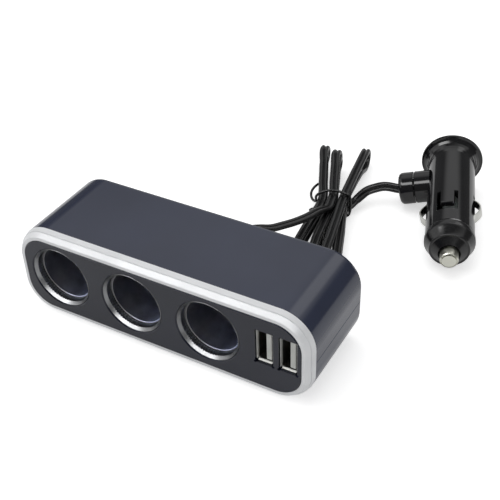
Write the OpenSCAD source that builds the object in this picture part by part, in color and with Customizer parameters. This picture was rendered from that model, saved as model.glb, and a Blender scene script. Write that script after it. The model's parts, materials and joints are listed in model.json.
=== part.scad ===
// Three-way 12 V car socket splitter with two USB charging ports, its bundled lead and its plug.
// Millimetres. X runs along the row of sockets, Y goes from the front plate to the back, Z is up.
// The origin is under the middle of the housing, on the surface that it stands on.

/* [Sockets] */
// Radius of a socket's bore
bore_r = 10.6; // [9:0.05:12.5]
// Depth of a socket's bore behind the tube's rim
bore_l = 30.1; // [25:0.1:40]
// Room between the mouth rings of two sockets
socket_gap = 6.6; // [5:0.1:12]
// Wall thickness of the socket's tube
tube_t = 0.5; // [0.4:0.05:0.6]
// From the bore out to the mouth ring's rim
ring_out = 1.65; // [1.6:0.05:2.2]
// Wall thickness of the mouth ring
ring_t = 0.85; // [0.6:0.05:0.9]
// Depth of the tube's rim behind the front plate's face
rim_d = 3.9; // [3.4:0.1:4.6]
// Radius of the centre contact's head
contact_r = 4; // [3:0.1:5]

/* [Housing] */
// Room beside the first mouth ring and under all of them
ring_room = 6.75; // [6:0.05:9]
// Room over the mouth rings
top_room = 5.25; // [5:0.05:9]
// Room between the last mouth ring and the opening of the inner port
port_room = 6.25; // [5.5:0.05:12]
// Corner radius of the housing's outline
corner_r = 13; // [9:0.5:15]
// Wall thickness of the two shells
wall = 2.2; // [1.6:0.1:2.6]
// How far the seam between the two shells lies below the middle
seam_drop = 0.05; // [0:0.05:1]
// Radius of the edge around the back wall
back_edge_r = 1.8; // [0.8:0.1:2]
// Thickness of the ribs that cradle the sockets
rib_t = 1.6; // [1.2:0.1:2.4]
// Radius of the screw posts
post_r = 3; // [2.6:0.1:3.2]

/* [Front frame and plate] */
// Depth of the silver frame in front of the shells
frame_d = 4.4; // [3.8:0.1:5.4]
// Step from the frame's widest outline in to the front plate
plate_inset = 3.2; // [2.8:0.1:4]
// Thickness of the front plate
plate_t = 2.3; // [1.8:0.1:2.8]
// Width of the frame's flat face beside the plate
frame_face = 1.3; // [0.8:0.1:1.6]
// Depth at which the frame's crease lies
crease_d = 2.2; // [1.6:0.1:2.8]
// Length of the frame's skirt inside the shells
skirt_d = 3; // [2:0.1:4]

/* [USB ports] */
// Web of the front plate between the outer port's opening and the plate's edge
port_edge = 1.5; // [1:0.1:2.5]
// Web of the front plate between the openings of the two ports
port_web = 2; // [1.4:0.1:3]
// How far the ports' centres lie above the middle of the housing
usb_rise = 2.75; // [0:0.05:3]
// Inner width of a port
usb_w = 5.1; // [5:0.05:5.2]
// Inner height of a port
usb_l = 12.5; // [12.3:0.05:12.7]
// Depth of a port's metal shell
usb_d = 14; // [12:0.5:15]
// Sheet thickness of the shell
usb_t = 0.3; // [0.25:0.05:0.4]
// Thickness of the circuit board
board_t = 1.6; // [1:0.1:1.8]

/* [Cord] */
// Width of the flat twin cord
cord_w = 4; // [3.4:0.1:4.2]
// Thickness of the flat twin cord
cord_t = 2; // [1.6:0.1:2.1]
// Thickness of the wire tie
tie_t = 1.1; // [0.9:0.1:1.3]
// Length of the hank's loops from the tie to their far ends
hank_far = 44; // [41:0.5:46]
// Length of the hank's loops from the tie to their near ends
hank_near = 47; // [44:0.5:48]
// Length of the strain relief behind the housing
relief_l = 14; // [12:0.5:16]

/* [Plug] */
// Radius of the plug's barrel
barrel_r = 9.7; // [9.4:0.05:9.9]
// Wall thickness of the barrel
barrel_wall = 1.4; // [1.2:0.1:1.6]
// How far the plug's flared flange stands out from the barrel
flange_out = 3.2; // [2.4:0.1:3.8]
// Distance from the flange to the swivel's axis
hub_at = 17.4; // [15:0.1:20]
// Distance from the swivel's axis to the nose cap
hub_nose = 36.5; // [34:0.1:40]
// How far the nose cap stands out from the barrel
nose_step = 0.25; // [0.15:0.05:0.4]
// Length of the nose cap from its rim to the edge of its dome
nose_l = 7.4; // [6.8:0.1:8.4]
// Radius of the sprung tip
tip_r = 3.6; // [3.2:0.05:3.9]
// How far the tip stands out of the nose cap
tip_out = 4.4; // [3.8:0.1:5]
// Radius of the swivel hub
hub_r = 6.75; // [6.4:0.05:7]
// Distance from the plug's axis to the end of the swivel
hub_out = 21.6; // [20:0.1:23]
// How far a side contact stands out of the barrel
contact_out = 2.7; // [2:0.1:3]

/* [Hidden] */
// Clearances: face to face in an assembly, a running fit, and around parts that move
seat_gap = 0.05;
run_gap = 0.05;
move_gap = 0.35;
// Overrun of every cut past the face that it opens
over = 1;
// Thickness of the thin slabs between which an edge is blended
leaf_t = 0.02;
// Fineness of wires and other small round things
blend_fn = 32;
// Fineness of the bores and turned pieces
round_fn = 64;

// The housing is as large as its sockets and ports need, and depth is measured from the front
// plate's face. Behind each tube is the bus bar, with air to the back wall.
bus_t = 0.8;
bus_w = 6;
bus_air = 1.1;
tube_back_t = 0.6;
insulator_t = 1.6;
insulator_neck = 0.7;
insulator_land = 1.3;
insulator_neck_r = contact_r + insulator_land;
tube_r = bore_r + tube_t;
ring_r = bore_r + ring_out;
tube_end = rim_d + bore_l + insulator_t + tube_back_t;
bus_d = tube_end + insulator_neck;
back_in = bus_d + bus_t + bus_air;
body_d = back_in + wall;
body_h = ring_room + 2 * ring_r + top_room;
lip_out = 0.35;
lip_d = 0.8;
lip_set = 0.65;
port_gap = 0.2;
port_w = usb_w + 2 * (usb_t + lip_out + port_gap);
port_l = usb_l + 2 * (usb_t + lip_out + port_gap);
usb_pitch = port_w + port_web;
usb_margin = plate_inset + port_edge + port_w / 2;
body_w = ring_room + 6 * ring_r + 2 * socket_gap + port_room + port_w / 2 + usb_pitch + usb_margin;
front_y = -body_d / 2;
mid_h = body_h / 2;
seam_h = mid_h - seam_drop;
socket_pitch = 2 * ring_r + socket_gap;
socket_h = ring_room + ring_r;
socket_x = [for (i = [0:2]) -body_w / 2 + ring_room + ring_r + i * socket_pitch];
usb_x = [body_w / 2 - usb_margin - usb_pitch, body_w / 2 - usb_margin];
usb_h = mid_h + usb_rise;
// Shadow gap at the seam
seam_step = 0.3;
// The centre contact, and the neck that the tube is drawn in to round it
rivet_r = 2;
rivet_tail = 0.5;
contact_h = 3.2;
neck_room = 0.4;
tube_step = 1.2;
neck_d = rim_d + bore_l - contact_h - neck_room;
// Mouth ring
ring_lip = 0.25;
ring_set = 0.3;
ring_cone = 1.1;
ring_flange_t = 0.8;
ring_flange = 0.85;
ring_end = frame_d + plate_t;
collar_t = 0.9;
collar_end = ring_end - ring_flange_t;
plate_hole_chamfer = 0.5;
// Frame and plate
plate_edge = 0.4;
frame_lip = 0.3;
frame_ledge = 0.9;
crease_inset = 0.55;
crease_groove = 0.2;
crease_w = 0.35;
plate_r = corner_r - plate_inset;
// Screw posts stand between the sockets, and between the sockets and the ports
post_x = [(socket_x[0] + socket_x[1]) / 2, (socket_x[2] + tube_r + usb_x[0] - usb_w / 2 - usb_t) / 2];
post_share = [0.32, 0.8];
post_y = [for (s = post_share) front_y + s * body_d];
screw_r = 1.25;
screw_head_r = 2.4;
screw_head_t = 1.6;
screw_sunk = 3;
screw_bite = 6;
screw_end_gap = 2;
driver_w = 0.7;
driver_r = 1.5;
driver_t = 0.9;
// Ribs that cradle the sockets, on both sides of the steel bus bar
bus_share = 0.6195;
bus_room = 0.3;
ground_bus_y = front_y + bus_share * body_d;
rib_y = [ground_bus_y - bus_w / 2 - bus_room - rib_t, ground_bus_y + bus_w / 2 + bus_room];
// Ports
relief_r = 0.5;
tongue_t = 1.84;
tongue_side = 0.7;
tongue_l = usb_l - 2 * tongue_side;
tongue_root = 1;
tongue_set = 1.4;
tongue_off = 0.35;
tongue_base_d = 4;
pad_t = 0.2;
pad_w = 1;
pad_set = 0.9;
pad_share = [-0.315, -0.09, 0.09, 0.315];
board_x = (usb_x[0] + usb_x[1]) / 2;
board_front = 5;
board_edge = 5;
board_gap = 1.7;
board_back = tube_end - board_gap;
board_low = board_edge;
board_high = body_h - board_edge;
leg_w = 1.2;
part_gap = 1;
guide_l = 3.4;
guide_t = 1.6;
coil_r = 4.3;
coil_h = 5.2;
coil_core_r = 1.7;
coil_flange_t = 0.9;
coil_waist = 0.8;
capacitor_r = 3;
capacitor_l = 8;
chip_size = [1.5, 5, 4];
chip_leg = 0.5;
// Strain relief
relief_x = (socket_x[1] + socket_x[2]) / 2;
relief_r1 = 4.3;
relief_r2 = 3;
relief_neck_r = 3.4;
relief_flange_r = 4.6;
relief_flange_t = 2;
relief_ribs = 5;
relief_groove = 0.55;
wire_r = 0.75;
wire_bend = 1;
bridge_rise = 6.5;
bridge_w = 3;

// The plug lies on the floor: its flange, its nose cap and the end of its hub touch it
plug_place = [54.6, 129.1];
plug_yaw = 19;
plug_roll = 13;
rim_t = 1.2;
neck_at = 7;
nose_flat = 2.8;
edge_t = 0.25;
joint_t = 0.45;
flange_r = barrel_r + flange_out;
nose_r = barrel_r + nose_step;
barrel_l = hub_at + hub_nose;
plug_pitch = atan((flange_r - nose_r) / (barrel_l + nose_flat - rim_t));
plug_h = flange_r * cos(plug_pitch) + rim_t * sin(plug_pitch);
inner_r = barrel_r - barrel_wall;
spigot_step = 1.25;
spigot_r = barrel_r - spigot_step;
spigot_l = 3;
spigot_wall = 1.1;
end_cap_t = 1.2;
end_cap_lip = 1.5;
end_cap_r = flange_r - end_cap_lip;
end_cap_dome = 0.5;
end_cap_step = 1;
// Latch window over the barrel with its tongue. Its start, its length and the tongue's length are
// shares of the way from the swivel's axis to the nose cap.
window_w = 8.4;
latch_w = 5.3;
latch_rise = 0.45;
latch_ramp = 2.2;
latch_edge = 0.4;
window_share = [0.4822, 0.3233, 0.2384];
window_at = hub_at + window_share[0] * hub_nose;
window_l = window_share[1] * hub_nose;
latch_l = window_share[2] * hub_nose;
// Side contacts: start and length as shares of the same way
contact_share = [0.3617, 0.411];
contact_at = hub_at + contact_share[0] * hub_nose;
contact_l = contact_share[1] * hub_nose;
contact_w = 3.8;
contact_t = 0.5;
contact_foot = 2.2;
contact_foot_r = inner_r - move_gap - contact_t / 2;
contact_press = 2;
contact_room = 0.4;
contact_foot_gap = 0.6;
// Swivel hub
hub_share = 0.437;
hub_inner = barrel_r + hub_share * (hub_out - barrel_r);
hub_groove = 0.4;
hub_corner = 1.8;
neck_r = 3.6;
clip_rim = 1.75;
clip_r = hub_r - clip_rim;
clip_t = 0.8;
clip_slack = 0.1;
clip_edge = 1.2;
clip_mouth = 4.6;
clip_groove_r = 3;
hub_wall = 1.3;
clip_at = hub_inner - hub_wall - clip_slack - clip_t;
// Nose cap, tip, fuse and spring
nose_edge_share = 0.759;
nose_edge_r = nose_edge_share * nose_r;
nose_face = 2.2;
nose_bevel = 0.25;
nose_mouth = 0.8;
nose_mouth_d = 0.9;
nose_side_share = [[1, 0], [0.985, 0.07], [0.94, 0.22], [0.885, 0.45], [0.825, 0.72]];
nose_front_wall = 1.6;
nose_room = 1;
tip_shoulder = 1.4;
tip_shoulder_r = tip_r + tip_shoulder;
nose_room_r = tip_shoulder_r + nose_room;
tip_shoulder_t = 1.4;
tip_round = 0.35;
tip_groove = 0.3;
tip_groove_d = 0.45;
tip_button_share = 0.74;
tip_travel = 3;
tip_cup_l = 2.2;
fuse_r = 3.15;
fuse_cap_l = 6;
fuse_glass_in = 0.25;
fuse_wall_t = 1.2;
fuse_wall_share = [0.3289, 0.8548];
fuse_wall_at = [for (s = fuse_wall_share) hub_at + s * hub_nose];
spring_r = 2.4;
spring_wire_r = 0.4;
spring_turns = 5;
spring_l = 7.5;
seat_t = 1.6;
seat_r = inner_r - seat_gap;
seat_room = 1.67;
face_end = barrel_l + nose_l + nose_face;
tip_end = face_end + tip_out;
shoulder_at = face_end - nose_front_wall - tip_shoulder_t - 2 * seat_gap;
tip_back = shoulder_at - tip_cup_l;
seat_at = hub_at + seat_room;
spring_at = seat_at + seat_t;
fuse_at = spring_at + spring_l;

// The hank: where the tie sits on the floor, its bearing, and its strands' spacing
hank_place = [18.7, 84.6];
hank_yaw = 12.7;
strand_gap = 0.55;
column = cord_w + strand_gap;
row = cord_t + strand_gap;
tie_gap = 0.15;
waist_h = tie_t + tie_gap + cord_t / 2;
floor_h = cord_t / 2 + seat_gap;
// Each strand that passes the tie: its column and row at the tie, then its column and its level in
// rows above the floor at the far end, the same at the near end, all counted in strands
strands = [
    [0, 3, -1.2, 4.2, 0, 0],
    [0, 0, -1.2, 0, -0.25, 0],
    [-1, 2, -2.75, 2.8, -1.9, 2.2],
    [-1, 0, -2.75, 0, -1.9, 0],
    [0, 2, -1.05, 3.1, -0.25, 2.2],
    [0, 1, -1.05, 1.1, 1.18, 0.45],
    [1, 3, 1.3, 2.8, 1.18, 3.3],
    [1, 2, 1.3, 0, 2.27, 2.2],
    [1, 0, 1.1, 0, 2.27, 0]
];
// How far each fold reaches, as shares of the loops' length on its side of the tie
far_share = [0.81, 0.965, 0.745, 1];
near_share = [1, 0.82, 0.96, 1];
run_share = [0.35, 0.7];
// The ends of the hank just outside the tie
hank_in = [-5, 0, 3];
hank_out = [4.6, 1.5, 0.5];
hank_rest = 1.4;

// Route of the lead between the strain relief and the hank, in part coordinates
box_route = [
    [8.3, 40.9, 18], [11, 43.4, 17.3], [13.9, 48.6, 16.3], [16.4, 54.8, 15], [18.4, 61.2, 13.9],
    [19.5, 67, 12.9], [20.2, 72, 11.3]
];
// Route of the lead between the hank and the plug's hub
plug_route = [[27.7, 98.9, 6.3], [30.5, 101.7, 7.3], [33.2, 104, 7.9], [35.9, 105.2, 7.7]];
lead_stub = 1.4;
// The wire tie's two ends: along the hank, out from the tie's side, and height
tie_start = [[-5.6, -1.2, 5], [-3.6, -0.9, 4.2]];
tie_tail = [[2.5, -2.15, 5], [6.6, -3.7, 5], [11.5, -3.5, 5], [15.3, -2, 4.9], [17.2, -0.5, 4.8]];

function turn_z(p, a) = [p.x * cos(a) - p.y * sin(a), p.x * sin(a) + p.y * cos(a), p.z];
function turn_x(p, a) = [p.x, p.y * cos(a) - p.z * sin(a), p.y * sin(a) + p.z * cos(a)];
// A point of the plug, [right, up, along to the tip], in part coordinates
function plug_point(p) = turn_z(turn_x(turn_z(p, plug_roll), 90 + plug_pitch), plug_yaw)
    + [plug_place.x, plug_place.y, plug_h];
// A point of the hank, [along to the far end, across, height], in part coordinates
function hank_point(p) = turn_z([p.y, p.x, 0], hank_yaw) + [hank_place.x, hank_place.y, p.z];

module on_plug() {
    translate([plug_place.x, plug_place.y, plug_h])
        rotate([90 + plug_pitch, 0, plug_yaw]) rotate([0, 0, plug_roll]) children();
}

// Everything that is turned in the housing has its axis along Y, from the front plate's face back
module along_depth(x, z) {
    translate([x, front_y, z]) rotate([-90, 0, 0]) children();
}

module rounded_outline(w, h, r) {
    for (sx = [-1, 1]) for (sy = [-1, 1])
        translate([sx * (w / 2 - r), sy * (h / 2 - r)]) circle(r = r, $fn = round_fn);
    square([w, h - 2 * r], center = true);
    square([w - 2 * r, h], center = true);
}

// A slab of the housing's outline, drawn in by inset, between two depths
module slab(inset, d1, d2) {
    translate([0, front_y + d2, mid_h]) rotate([90, 0, 0]) linear_extrude(d2 - d1)
        rounded_outline(body_w - 2 * inset, body_h - 2 * inset, corner_r - inset);
}

module thin_slab(inset, d) {
    slab(inset, d, d + leaf_t);
}

module block(p1, p2) {
    translate(p1) cube(p2 - p1);
}

// Housing shells
module edge_slab(a) {
    thin_slab(back_edge_r * (1 - cos(a)), body_d - back_edge_r * (1 - sin(a)) - leaf_t);
}

module shell_outside() {
    slab(0, frame_d, body_d - back_edge_r);
    for (a = [0, 30, 60]) hull() {
        edge_slab(a);
        edge_slab(a + 30);
    }
}

module shell_inside() {
    slab(wall, frame_d - over, back_in);
}

module socket_ribs() {
    right = post_x[1] - post_r;
    for (y = rib_y)
        difference() {
            block([-body_w / 2 + wall / 2, y, wall / 2], [right, y + rib_t, body_h - wall / 2]);
            for (x = socket_x) along_depth(x, socket_h)
                cylinder(r = tube_r + seat_gap, h = body_d, $fn = round_fn);
            block([relief_x - bus_w / 2, y - over, seam_h - bus_w / 2],
                [relief_x + bus_w / 2, y + rib_t + over, seam_h + bus_w / 2]);
        }
}

module board_guides() {
    for (d = [board_front + guide_l, board_back - guide_l])
        difference() {
            block([board_x - guide_l, front_y + d, wall / 2],
                [board_x + guide_l, front_y + d + guide_t, body_h - wall / 2]);
            block([board_x - board_t / 2 - seat_gap, front_y, board_low],
                [board_x + board_t / 2 + seat_gap, -front_y, board_high]);
            block([board_x - guide_l - over, front_y, board_low + guide_l / 2],
                [board_x + guide_l + over, -front_y, board_high - guide_l / 2]);
        }
}

module posts(r, z1, z2) {
    for (x = post_x) for (y = post_y) translate([x, y, z1]) cylinder(r = r, h = z2 - z1, $fn = round_fn);
}

module shell_solid() {
    difference() {
        shell_outside();
        shell_inside();
    }
    intersection() {
        union() {
            socket_ribs();
            board_guides();
            posts(post_r, 0, body_h);
        }
        slab(wall / 2, frame_d, back_in);
    }
}

module relief_hole() {
    along_depth(relief_x, seam_h) cylinder(r = relief_neck_r + seat_gap, h = body_d + over, $fn = round_fn);
    along_depth(relief_x, seam_h) cylinder(r = relief_flange_r + seat_gap, h = back_in, $fn = round_fn);
}

// Shadow gap that runs round the top of the lower shell
module seam_groove() {
    difference() {
        block([-body_w, -body_d, seam_h - seam_step], [body_w, body_d, seam_h + over]);
        slab(seam_step, 0, body_d - seam_step);
    }
}

module upper_shell() {
    color("#464955") difference() {
        intersection() {
            shell_solid();
            block([-body_w, -body_d, seam_h], [body_w, body_d, body_h + over]);
        }
        relief_hole();
        posts(screw_r, seam_h - over, seam_h + screw_bite);
    }
}

module lower_shell() {
    head_top = screw_sunk + screw_head_t;
    color("#3c3e48") difference() {
        intersection() {
            shell_solid();
            block([-body_w, -body_d, -over], [body_w, body_d, seam_h]);
        }
        relief_hole();
        seam_groove();
        posts(screw_r + 2 * run_gap, -over, seam_h + over);
        posts(screw_head_r + 2 * run_gap, -over, head_top);
    }
}

// Silver frame around the front plate, grooved along its crease
module trim_frame() {
    color("#d9dbdd") difference() {
        union() {
            hull() {
                thin_slab(plate_inset - frame_face, frame_lip);
                thin_slab(crease_inset, crease_d);
            }
            hull() {
                thin_slab(crease_inset, crease_d);
                thin_slab(0, frame_d - leaf_t);
            }
            slab(wall + seat_gap, crease_d, frame_d + skirt_d);
        }
        slab(plate_inset, -over, plate_t + seat_gap);
        slab(plate_inset + frame_ledge, -over, frame_d + skirt_d + over);
        difference() {
            slab(-over, crease_d - crease_w / 2, crease_d + crease_w / 2);
            slab(crease_inset + crease_groove, crease_d - crease_w, crease_d + crease_w);
        }
    }
}

// Front plate with its collars around the mouth rings
module port_cut(x) {
    low = usb_h - port_l / 2;
    block([x - port_w / 2, front_y - over, low], [x + port_w / 2, front_y + ring_end, low + port_l]);
    for (s = [-1, 1]) along_depth(x + s * port_w / 2, low) translate([0, 0, -over])
        cylinder(r = relief_r, h = ring_end, $fn = round_fn);
}

module front_plate() {
    hole_r = ring_r + seat_gap;
    color("#3d3f47") difference() {
        union() {
            hull() {
                thin_slab(plate_inset + seat_gap + plate_edge, 0);
                thin_slab(plate_inset + seat_gap, plate_edge);
            }
            slab(plate_inset + seat_gap, plate_edge, plate_t);
            for (x = socket_x) along_depth(x, socket_h) translate([0, 0, plate_edge])
                cylinder(r = hole_r + collar_t, h = collar_end - plate_edge, $fn = round_fn);
        }
        for (x = socket_x) along_depth(x, socket_h) {
            translate([0, 0, -over]) cylinder(r = hole_r, h = collar_end + 2 * over, $fn = round_fn);
            translate([0, 0, -over]) cylinder(r1 = hole_r + plate_hole_chamfer + over, r2 = hole_r,
                h = plate_hole_chamfer + over, $fn = round_fn);
        }
        for (x = usb_x) port_cut(x);
    }
}

// Chrome mouth ring: a cone that leads in from the plate, a collar and a flange behind the plate
module mouth_ring(i) {
    step_r = tube_r + seat_gap;
    inside = ring_r - ring_t;
    color("#c9cbcd") along_depth(socket_x[i], socket_h) rotate_extrude($fn = round_fn) polygon([
        [inside, ring_set + ring_cone], [ring_r - ring_lip / 2, ring_set],
        [ring_r, ring_set + ring_lip / 2], [ring_r, collar_end + seat_gap],
        [ring_r + ring_flange, collar_end + seat_gap], [ring_r + ring_flange, ring_end + seat_gap],
        [step_r, ring_end + seat_gap], [step_r, rim_d + ring_lip], [inside, rim_d + ring_lip]
    ]);
}

// Socket tube: a rolled rim, the bore, a neck drawn in behind it and a turned-in back
module socket_tube(i) {
    rim = tube_t / 4;
    bend = tube_t / 2;
    neck_out = tube_r - tube_step;
    color("#b4b6b4") along_depth(socket_x[i], socket_h) rotate_extrude($fn = round_fn) polygon([
        [bore_r, rim_d + rim], [bore_r + rim, rim_d], [tube_r - rim, rim_d], [tube_r, rim_d + rim],
        [tube_r, neck_d + bend], [neck_out, neck_d + bend + tube_step],
        [neck_out, tube_end - rim], [neck_out - rim, tube_end], [insulator_neck_r + run_gap, tube_end],
        [insulator_neck_r + run_gap, tube_end - tube_back_t], [bore_r - tube_step, tube_end - tube_back_t],
        [bore_r - tube_step, neck_d + tube_step], [bore_r, neck_d]
    ]);
}

module socket_insulator(i) {
    face = tube_end - tube_back_t;
    rim_r = bore_r - tube_step - run_gap;
    color("#2b2b2e") along_depth(socket_x[i], socket_h) rotate_extrude($fn = round_fn) polygon([
        [rivet_r + run_gap, face - insulator_t], [rim_r, face - insulator_t],
        [rim_r, face], [insulator_neck_r, face], [insulator_neck_r, bus_d],
        [rivet_r + run_gap, bus_d]
    ]);
}

// Centre contact: a domed rivet through the insulator and the bus bar
module centre_contact(i) {
    seat = tube_end - tube_back_t - insulator_t;
    tail = bus_d + bus_t;
    dome = [for (a = [0:15:90]) [contact_r * sin(a), seat - contact_h * cos(a)]];
    color("#c8a24c") along_depth(socket_x[i], socket_h) rotate_extrude($fn = round_fn) polygon(concat(
        dome,
        [[contact_r, seat], [rivet_r, seat], [rivet_r, tail], [rivet_r + rivet_tail, tail],
            [rivet_r, tail + rivet_tail], [0, tail + rivet_tail]]
    ));
}

// Bus bars: brass behind the sockets, bridging the strain relief, and steel along the tubes' tops
module positive_bus() {
    y1 = front_y + bus_d;
    low = socket_h - bus_w / 2;
    gap_x = relief_flange_r + bridge_w / 2;
    color("#c8a24c") difference() {
        union() {
            block([socket_x[0] - bus_w / 2, y1, low], [relief_x - gap_x, y1 + bus_t, low + bus_w]);
            block([relief_x + gap_x, y1, low], [board_x - board_t / 2 - bus_t, y1 + bus_t, low + bus_w]);
            block([relief_x - gap_x - bridge_w, y1, low],
                [relief_x - gap_x, y1 + bus_t, socket_h + bridge_rise + bridge_w]);
            block([relief_x + gap_x, y1, low],
                [relief_x + gap_x + bridge_w, y1 + bus_t, socket_h + bridge_rise + bridge_w]);
            block([relief_x - gap_x - bridge_w, y1, socket_h + bridge_rise],
                [relief_x + gap_x + bridge_w, y1 + bus_t, socket_h + bridge_rise + bridge_w]);
            block([board_x - board_t / 2 - bus_t, front_y + board_back - bus_w, low],
                [board_x - board_t / 2, y1 + bus_t, low + bus_w]);
        }
        for (x = socket_x) along_depth(x, socket_h)
            cylinder(r = rivet_r + run_gap, h = body_d, $fn = round_fn);
    }
}

module ground_bus() {
    y1 = ground_bus_y - bus_w / 2;
    top = socket_h + tube_r;
    color("#a7a9a8") {
        block([socket_x[0] - bus_w / 2, y1, top], [socket_x[2] + bus_w / 2, y1 + bus_w, top + bus_t]);
        block([relief_x - bus_t / 2, y1, socket_h + bridge_rise],
            [relief_x + bus_t / 2, y1 + bus_w, top + bus_t / 2]);
    }
}

// A bent wire: straight lengths with round elbows
module wire(points, r) {
    for (i = [1:len(points) - 1]) {
        d = points[i] - points[i - 1];
        l = norm(d);
        translate(points[i - 1]) rotate([0, acos(d.z / l), atan2(d.y, d.x)])
            cylinder(r = r, h = l, $fn = blend_fn);
        if (i < len(points) - 1) translate(points[i]) sphere(r = r, $fn = blend_fn);
    }
}

module supply_wires() {
    flange_y = front_y + back_in - relief_flange_t;
    bus_y = front_y + bus_d;
    turn_y = flange_y - 3 * wire_r;
    bridge_z = socket_h + bridge_rise + bridge_w / 2;
    ground_y = rib_y[1] - rib_t - 2 * wire_r;
    color("#a33a34") wire([
        [relief_x - cord_w / 4, flange_y, seam_h], [relief_x - cord_w / 4, turn_y, seam_h],
        [relief_x - cord_w / 4, turn_y, bridge_z], [relief_x - cord_w / 4, bus_y, bridge_z]
    ], wire_r);
    color("#1d1d1f") wire([
        [relief_x + cord_w / 4 + bus_t, flange_y, seam_h],
            [relief_x + cord_w / 4 + bus_t, ground_y, seam_h],
        [relief_x + cord_w / 4 + bus_t, ground_y, bridge_z], [relief_x + bus_t / 2, ground_y, bridge_z]
    ], wire_r);
}

// USB ports
module usb_lips(x, w, l) {
    plate = usb_t;
    for (s = [-1, 1]) {
        translate([x, front_y + lip_set + lip_d, usb_h - l / 2 + plate]) mirror([s < 0 ? 1 : 0, 0, 0])
            linear_extrude(l - 2 * plate) polygon([
                [w / 2 - plate, 0], [w / 2, 0], [w / 2 + lip_out, -lip_d + plate / 2],
                    [w / 2 + lip_out - plate, -lip_d + plate / 2]
            ]);
        translate([x, front_y + lip_set + lip_d, usb_h]) mirror([0, 0, s < 0 ? 1 : 0]) rotate([90, 0, 90])
            translate([0, 0, -w / 2 + plate]) linear_extrude(w - 2 * plate) polygon([
                [0, l / 2 - plate], [0, l / 2], [-lip_d + plate / 2, l / 2 + lip_out],
                    [-lip_d + plate / 2, l / 2 + lip_out - plate]
            ]);
    }
}

module usb_shell(i) {
    w = usb_w + 2 * usb_t;
    l = usb_l + 2 * usb_t;
    x = usb_x[i];
    side = i == 0 ? 1 : -1;
    face = x + side * w / 2;
    board_face = board_x - side * board_t / 2;
    color("#b9bbb6") union() {
        difference() {
            block([x - w / 2, front_y + lip_set + lip_d, usb_h - l / 2],
                [x + w / 2, front_y + usb_d, usb_h + l / 2]);
            block([x - usb_w / 2, front_y, usb_h - usb_l / 2],
                [x + usb_w / 2, front_y + usb_d + over, usb_h + usb_l / 2]);
        }
        usb_lips(x, w, l);
        for (sz = [-1, 1]) {
            z = usb_h + sz * (usb_l / 2 - leg_w);
            block([min(face, board_face), front_y + usb_d - 2 * leg_w, z - leg_w / 2],
                [max(face, board_face), front_y + usb_d - leg_w, z + leg_w / 2]);
        }
    }
}

function tongue_x(i) = usb_x[i] + usb_w / 2 - tongue_off - tongue_t;

module usb_tongue(i) {
    x = tongue_x(i);
    base = front_y + usb_d - tongue_base_d;
    color("#c4c6c0") union() {
        block([x, front_y + tongue_set, usb_h - tongue_l / 2],
            [x + tongue_t, base + tongue_root, usb_h + tongue_l / 2]);
        block([usb_x[i] - usb_w / 2 + seat_gap, base, usb_h - usb_l / 2 + seat_gap],
            [usb_x[i] + usb_w / 2 - seat_gap, front_y + usb_d, usb_h + usb_l / 2 - seat_gap]);
    }
}

module usb_contacts() {
    color("#d0aa4e") for (i = [0, 1]) for (z = pad_share * tongue_l)
        block([tongue_x(i) - pad_t, front_y + tongue_set + pad_set, usb_h + z - pad_w / 2],
            [tongue_x(i), front_y + usb_d - tongue_base_d, usb_h + z + pad_w / 2]);
}

module usb_board() {
    color("#2f6b46") difference() {
        block([board_x - board_t / 2, front_y + board_front, board_low],
            [board_x + board_t / 2, front_y + board_back, board_high]);
        for (z = [board_low + coil_core_r, board_high - coil_core_r])
            translate([board_x - board_t, front_y + board_back - 2 * guide_l, z]) rotate([0, 90, 0])
                cylinder(r = coil_core_r / 2, h = 2 * board_t, $fn = round_fn);
    }
}

// Parts on the board: a drum coil, a can capacitor and the converter chip
module power_coil() {
    y = front_y + usb_d + coil_r + part_gap;
    color("#4a4642") translate([board_x + board_t / 2, y, usb_h]) rotate([0, 90, 0])
        rotate_extrude($fn = round_fn) polygon([
            [0, 0], [coil_r, 0], [coil_r, coil_flange_t], [coil_r - coil_waist, 2 * coil_flange_t],
            [coil_r - coil_waist, coil_h - 2 * coil_flange_t], [coil_r, coil_h - coil_flange_t],
            [coil_r, coil_h], [coil_core_r, coil_h], [coil_core_r, coil_h - coil_flange_t / 2],
                [0, coil_h - coil_flange_t / 2]
        ]);
}

module filter_capacitor() {
    y = front_y + usb_d + part_gap;
    ring = capacitor_r / 8;
    color("#3b4a6b") translate([board_x - board_t / 2 - capacitor_r, y, board_low + 2 * capacitor_r])
        rotate([-90, 0, 0])
        rotate_extrude($fn = round_fn) polygon([
            [0, 0], [capacitor_r, 0], [capacitor_r, ring], [capacitor_r - ring, 2 * ring],
            [capacitor_r, 3 * ring], [capacitor_r, capacitor_l], [0, capacitor_l]
        ]);
}

module converter_chip() {
    y = front_y + usb_d + part_gap;
    x = board_x - board_t / 2;
    color("#232326") {
        block([x - chip_size.x, y, usb_h + chip_size.z / 2],
            [x, y + chip_size.y, usb_h + chip_size.z * 3 / 2]);
        for (k = [0:3]) for (s = [-1, 1]) {
            z = usb_h + chip_size.z + s * (chip_size.z / 2 + chip_leg / 2);
            block([x - chip_size.x / 2, y + (k + 1 / 2) * chip_size.y / 4 - chip_leg / 2, z - chip_leg / 2],
                [x, y + (k + 1 / 2) * chip_size.y / 4 + chip_leg / 2, z + chip_leg / 2]);
        }
    }
}

// Screws that hold the shells together from below
module housing_screws() {
    color("#6f7275") for (x = post_x) for (y = post_y) translate([x, y, screw_sunk]) difference() {
        union() {
            cylinder(r = screw_head_r, h = screw_head_t, $fn = round_fn);
            translate([0, 0, screw_head_t]) cylinder(r = screw_r - run_gap,
                h = seam_h + screw_bite - screw_end_gap
                - screw_sunk - screw_head_t, $fn = round_fn);
        }
        for (a = [0, 90]) rotate([0, 0, a]) translate([-driver_r, -driver_w / 2, -over])
            cube([2 * driver_r, driver_w, over + driver_t]);
    }
}

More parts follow.
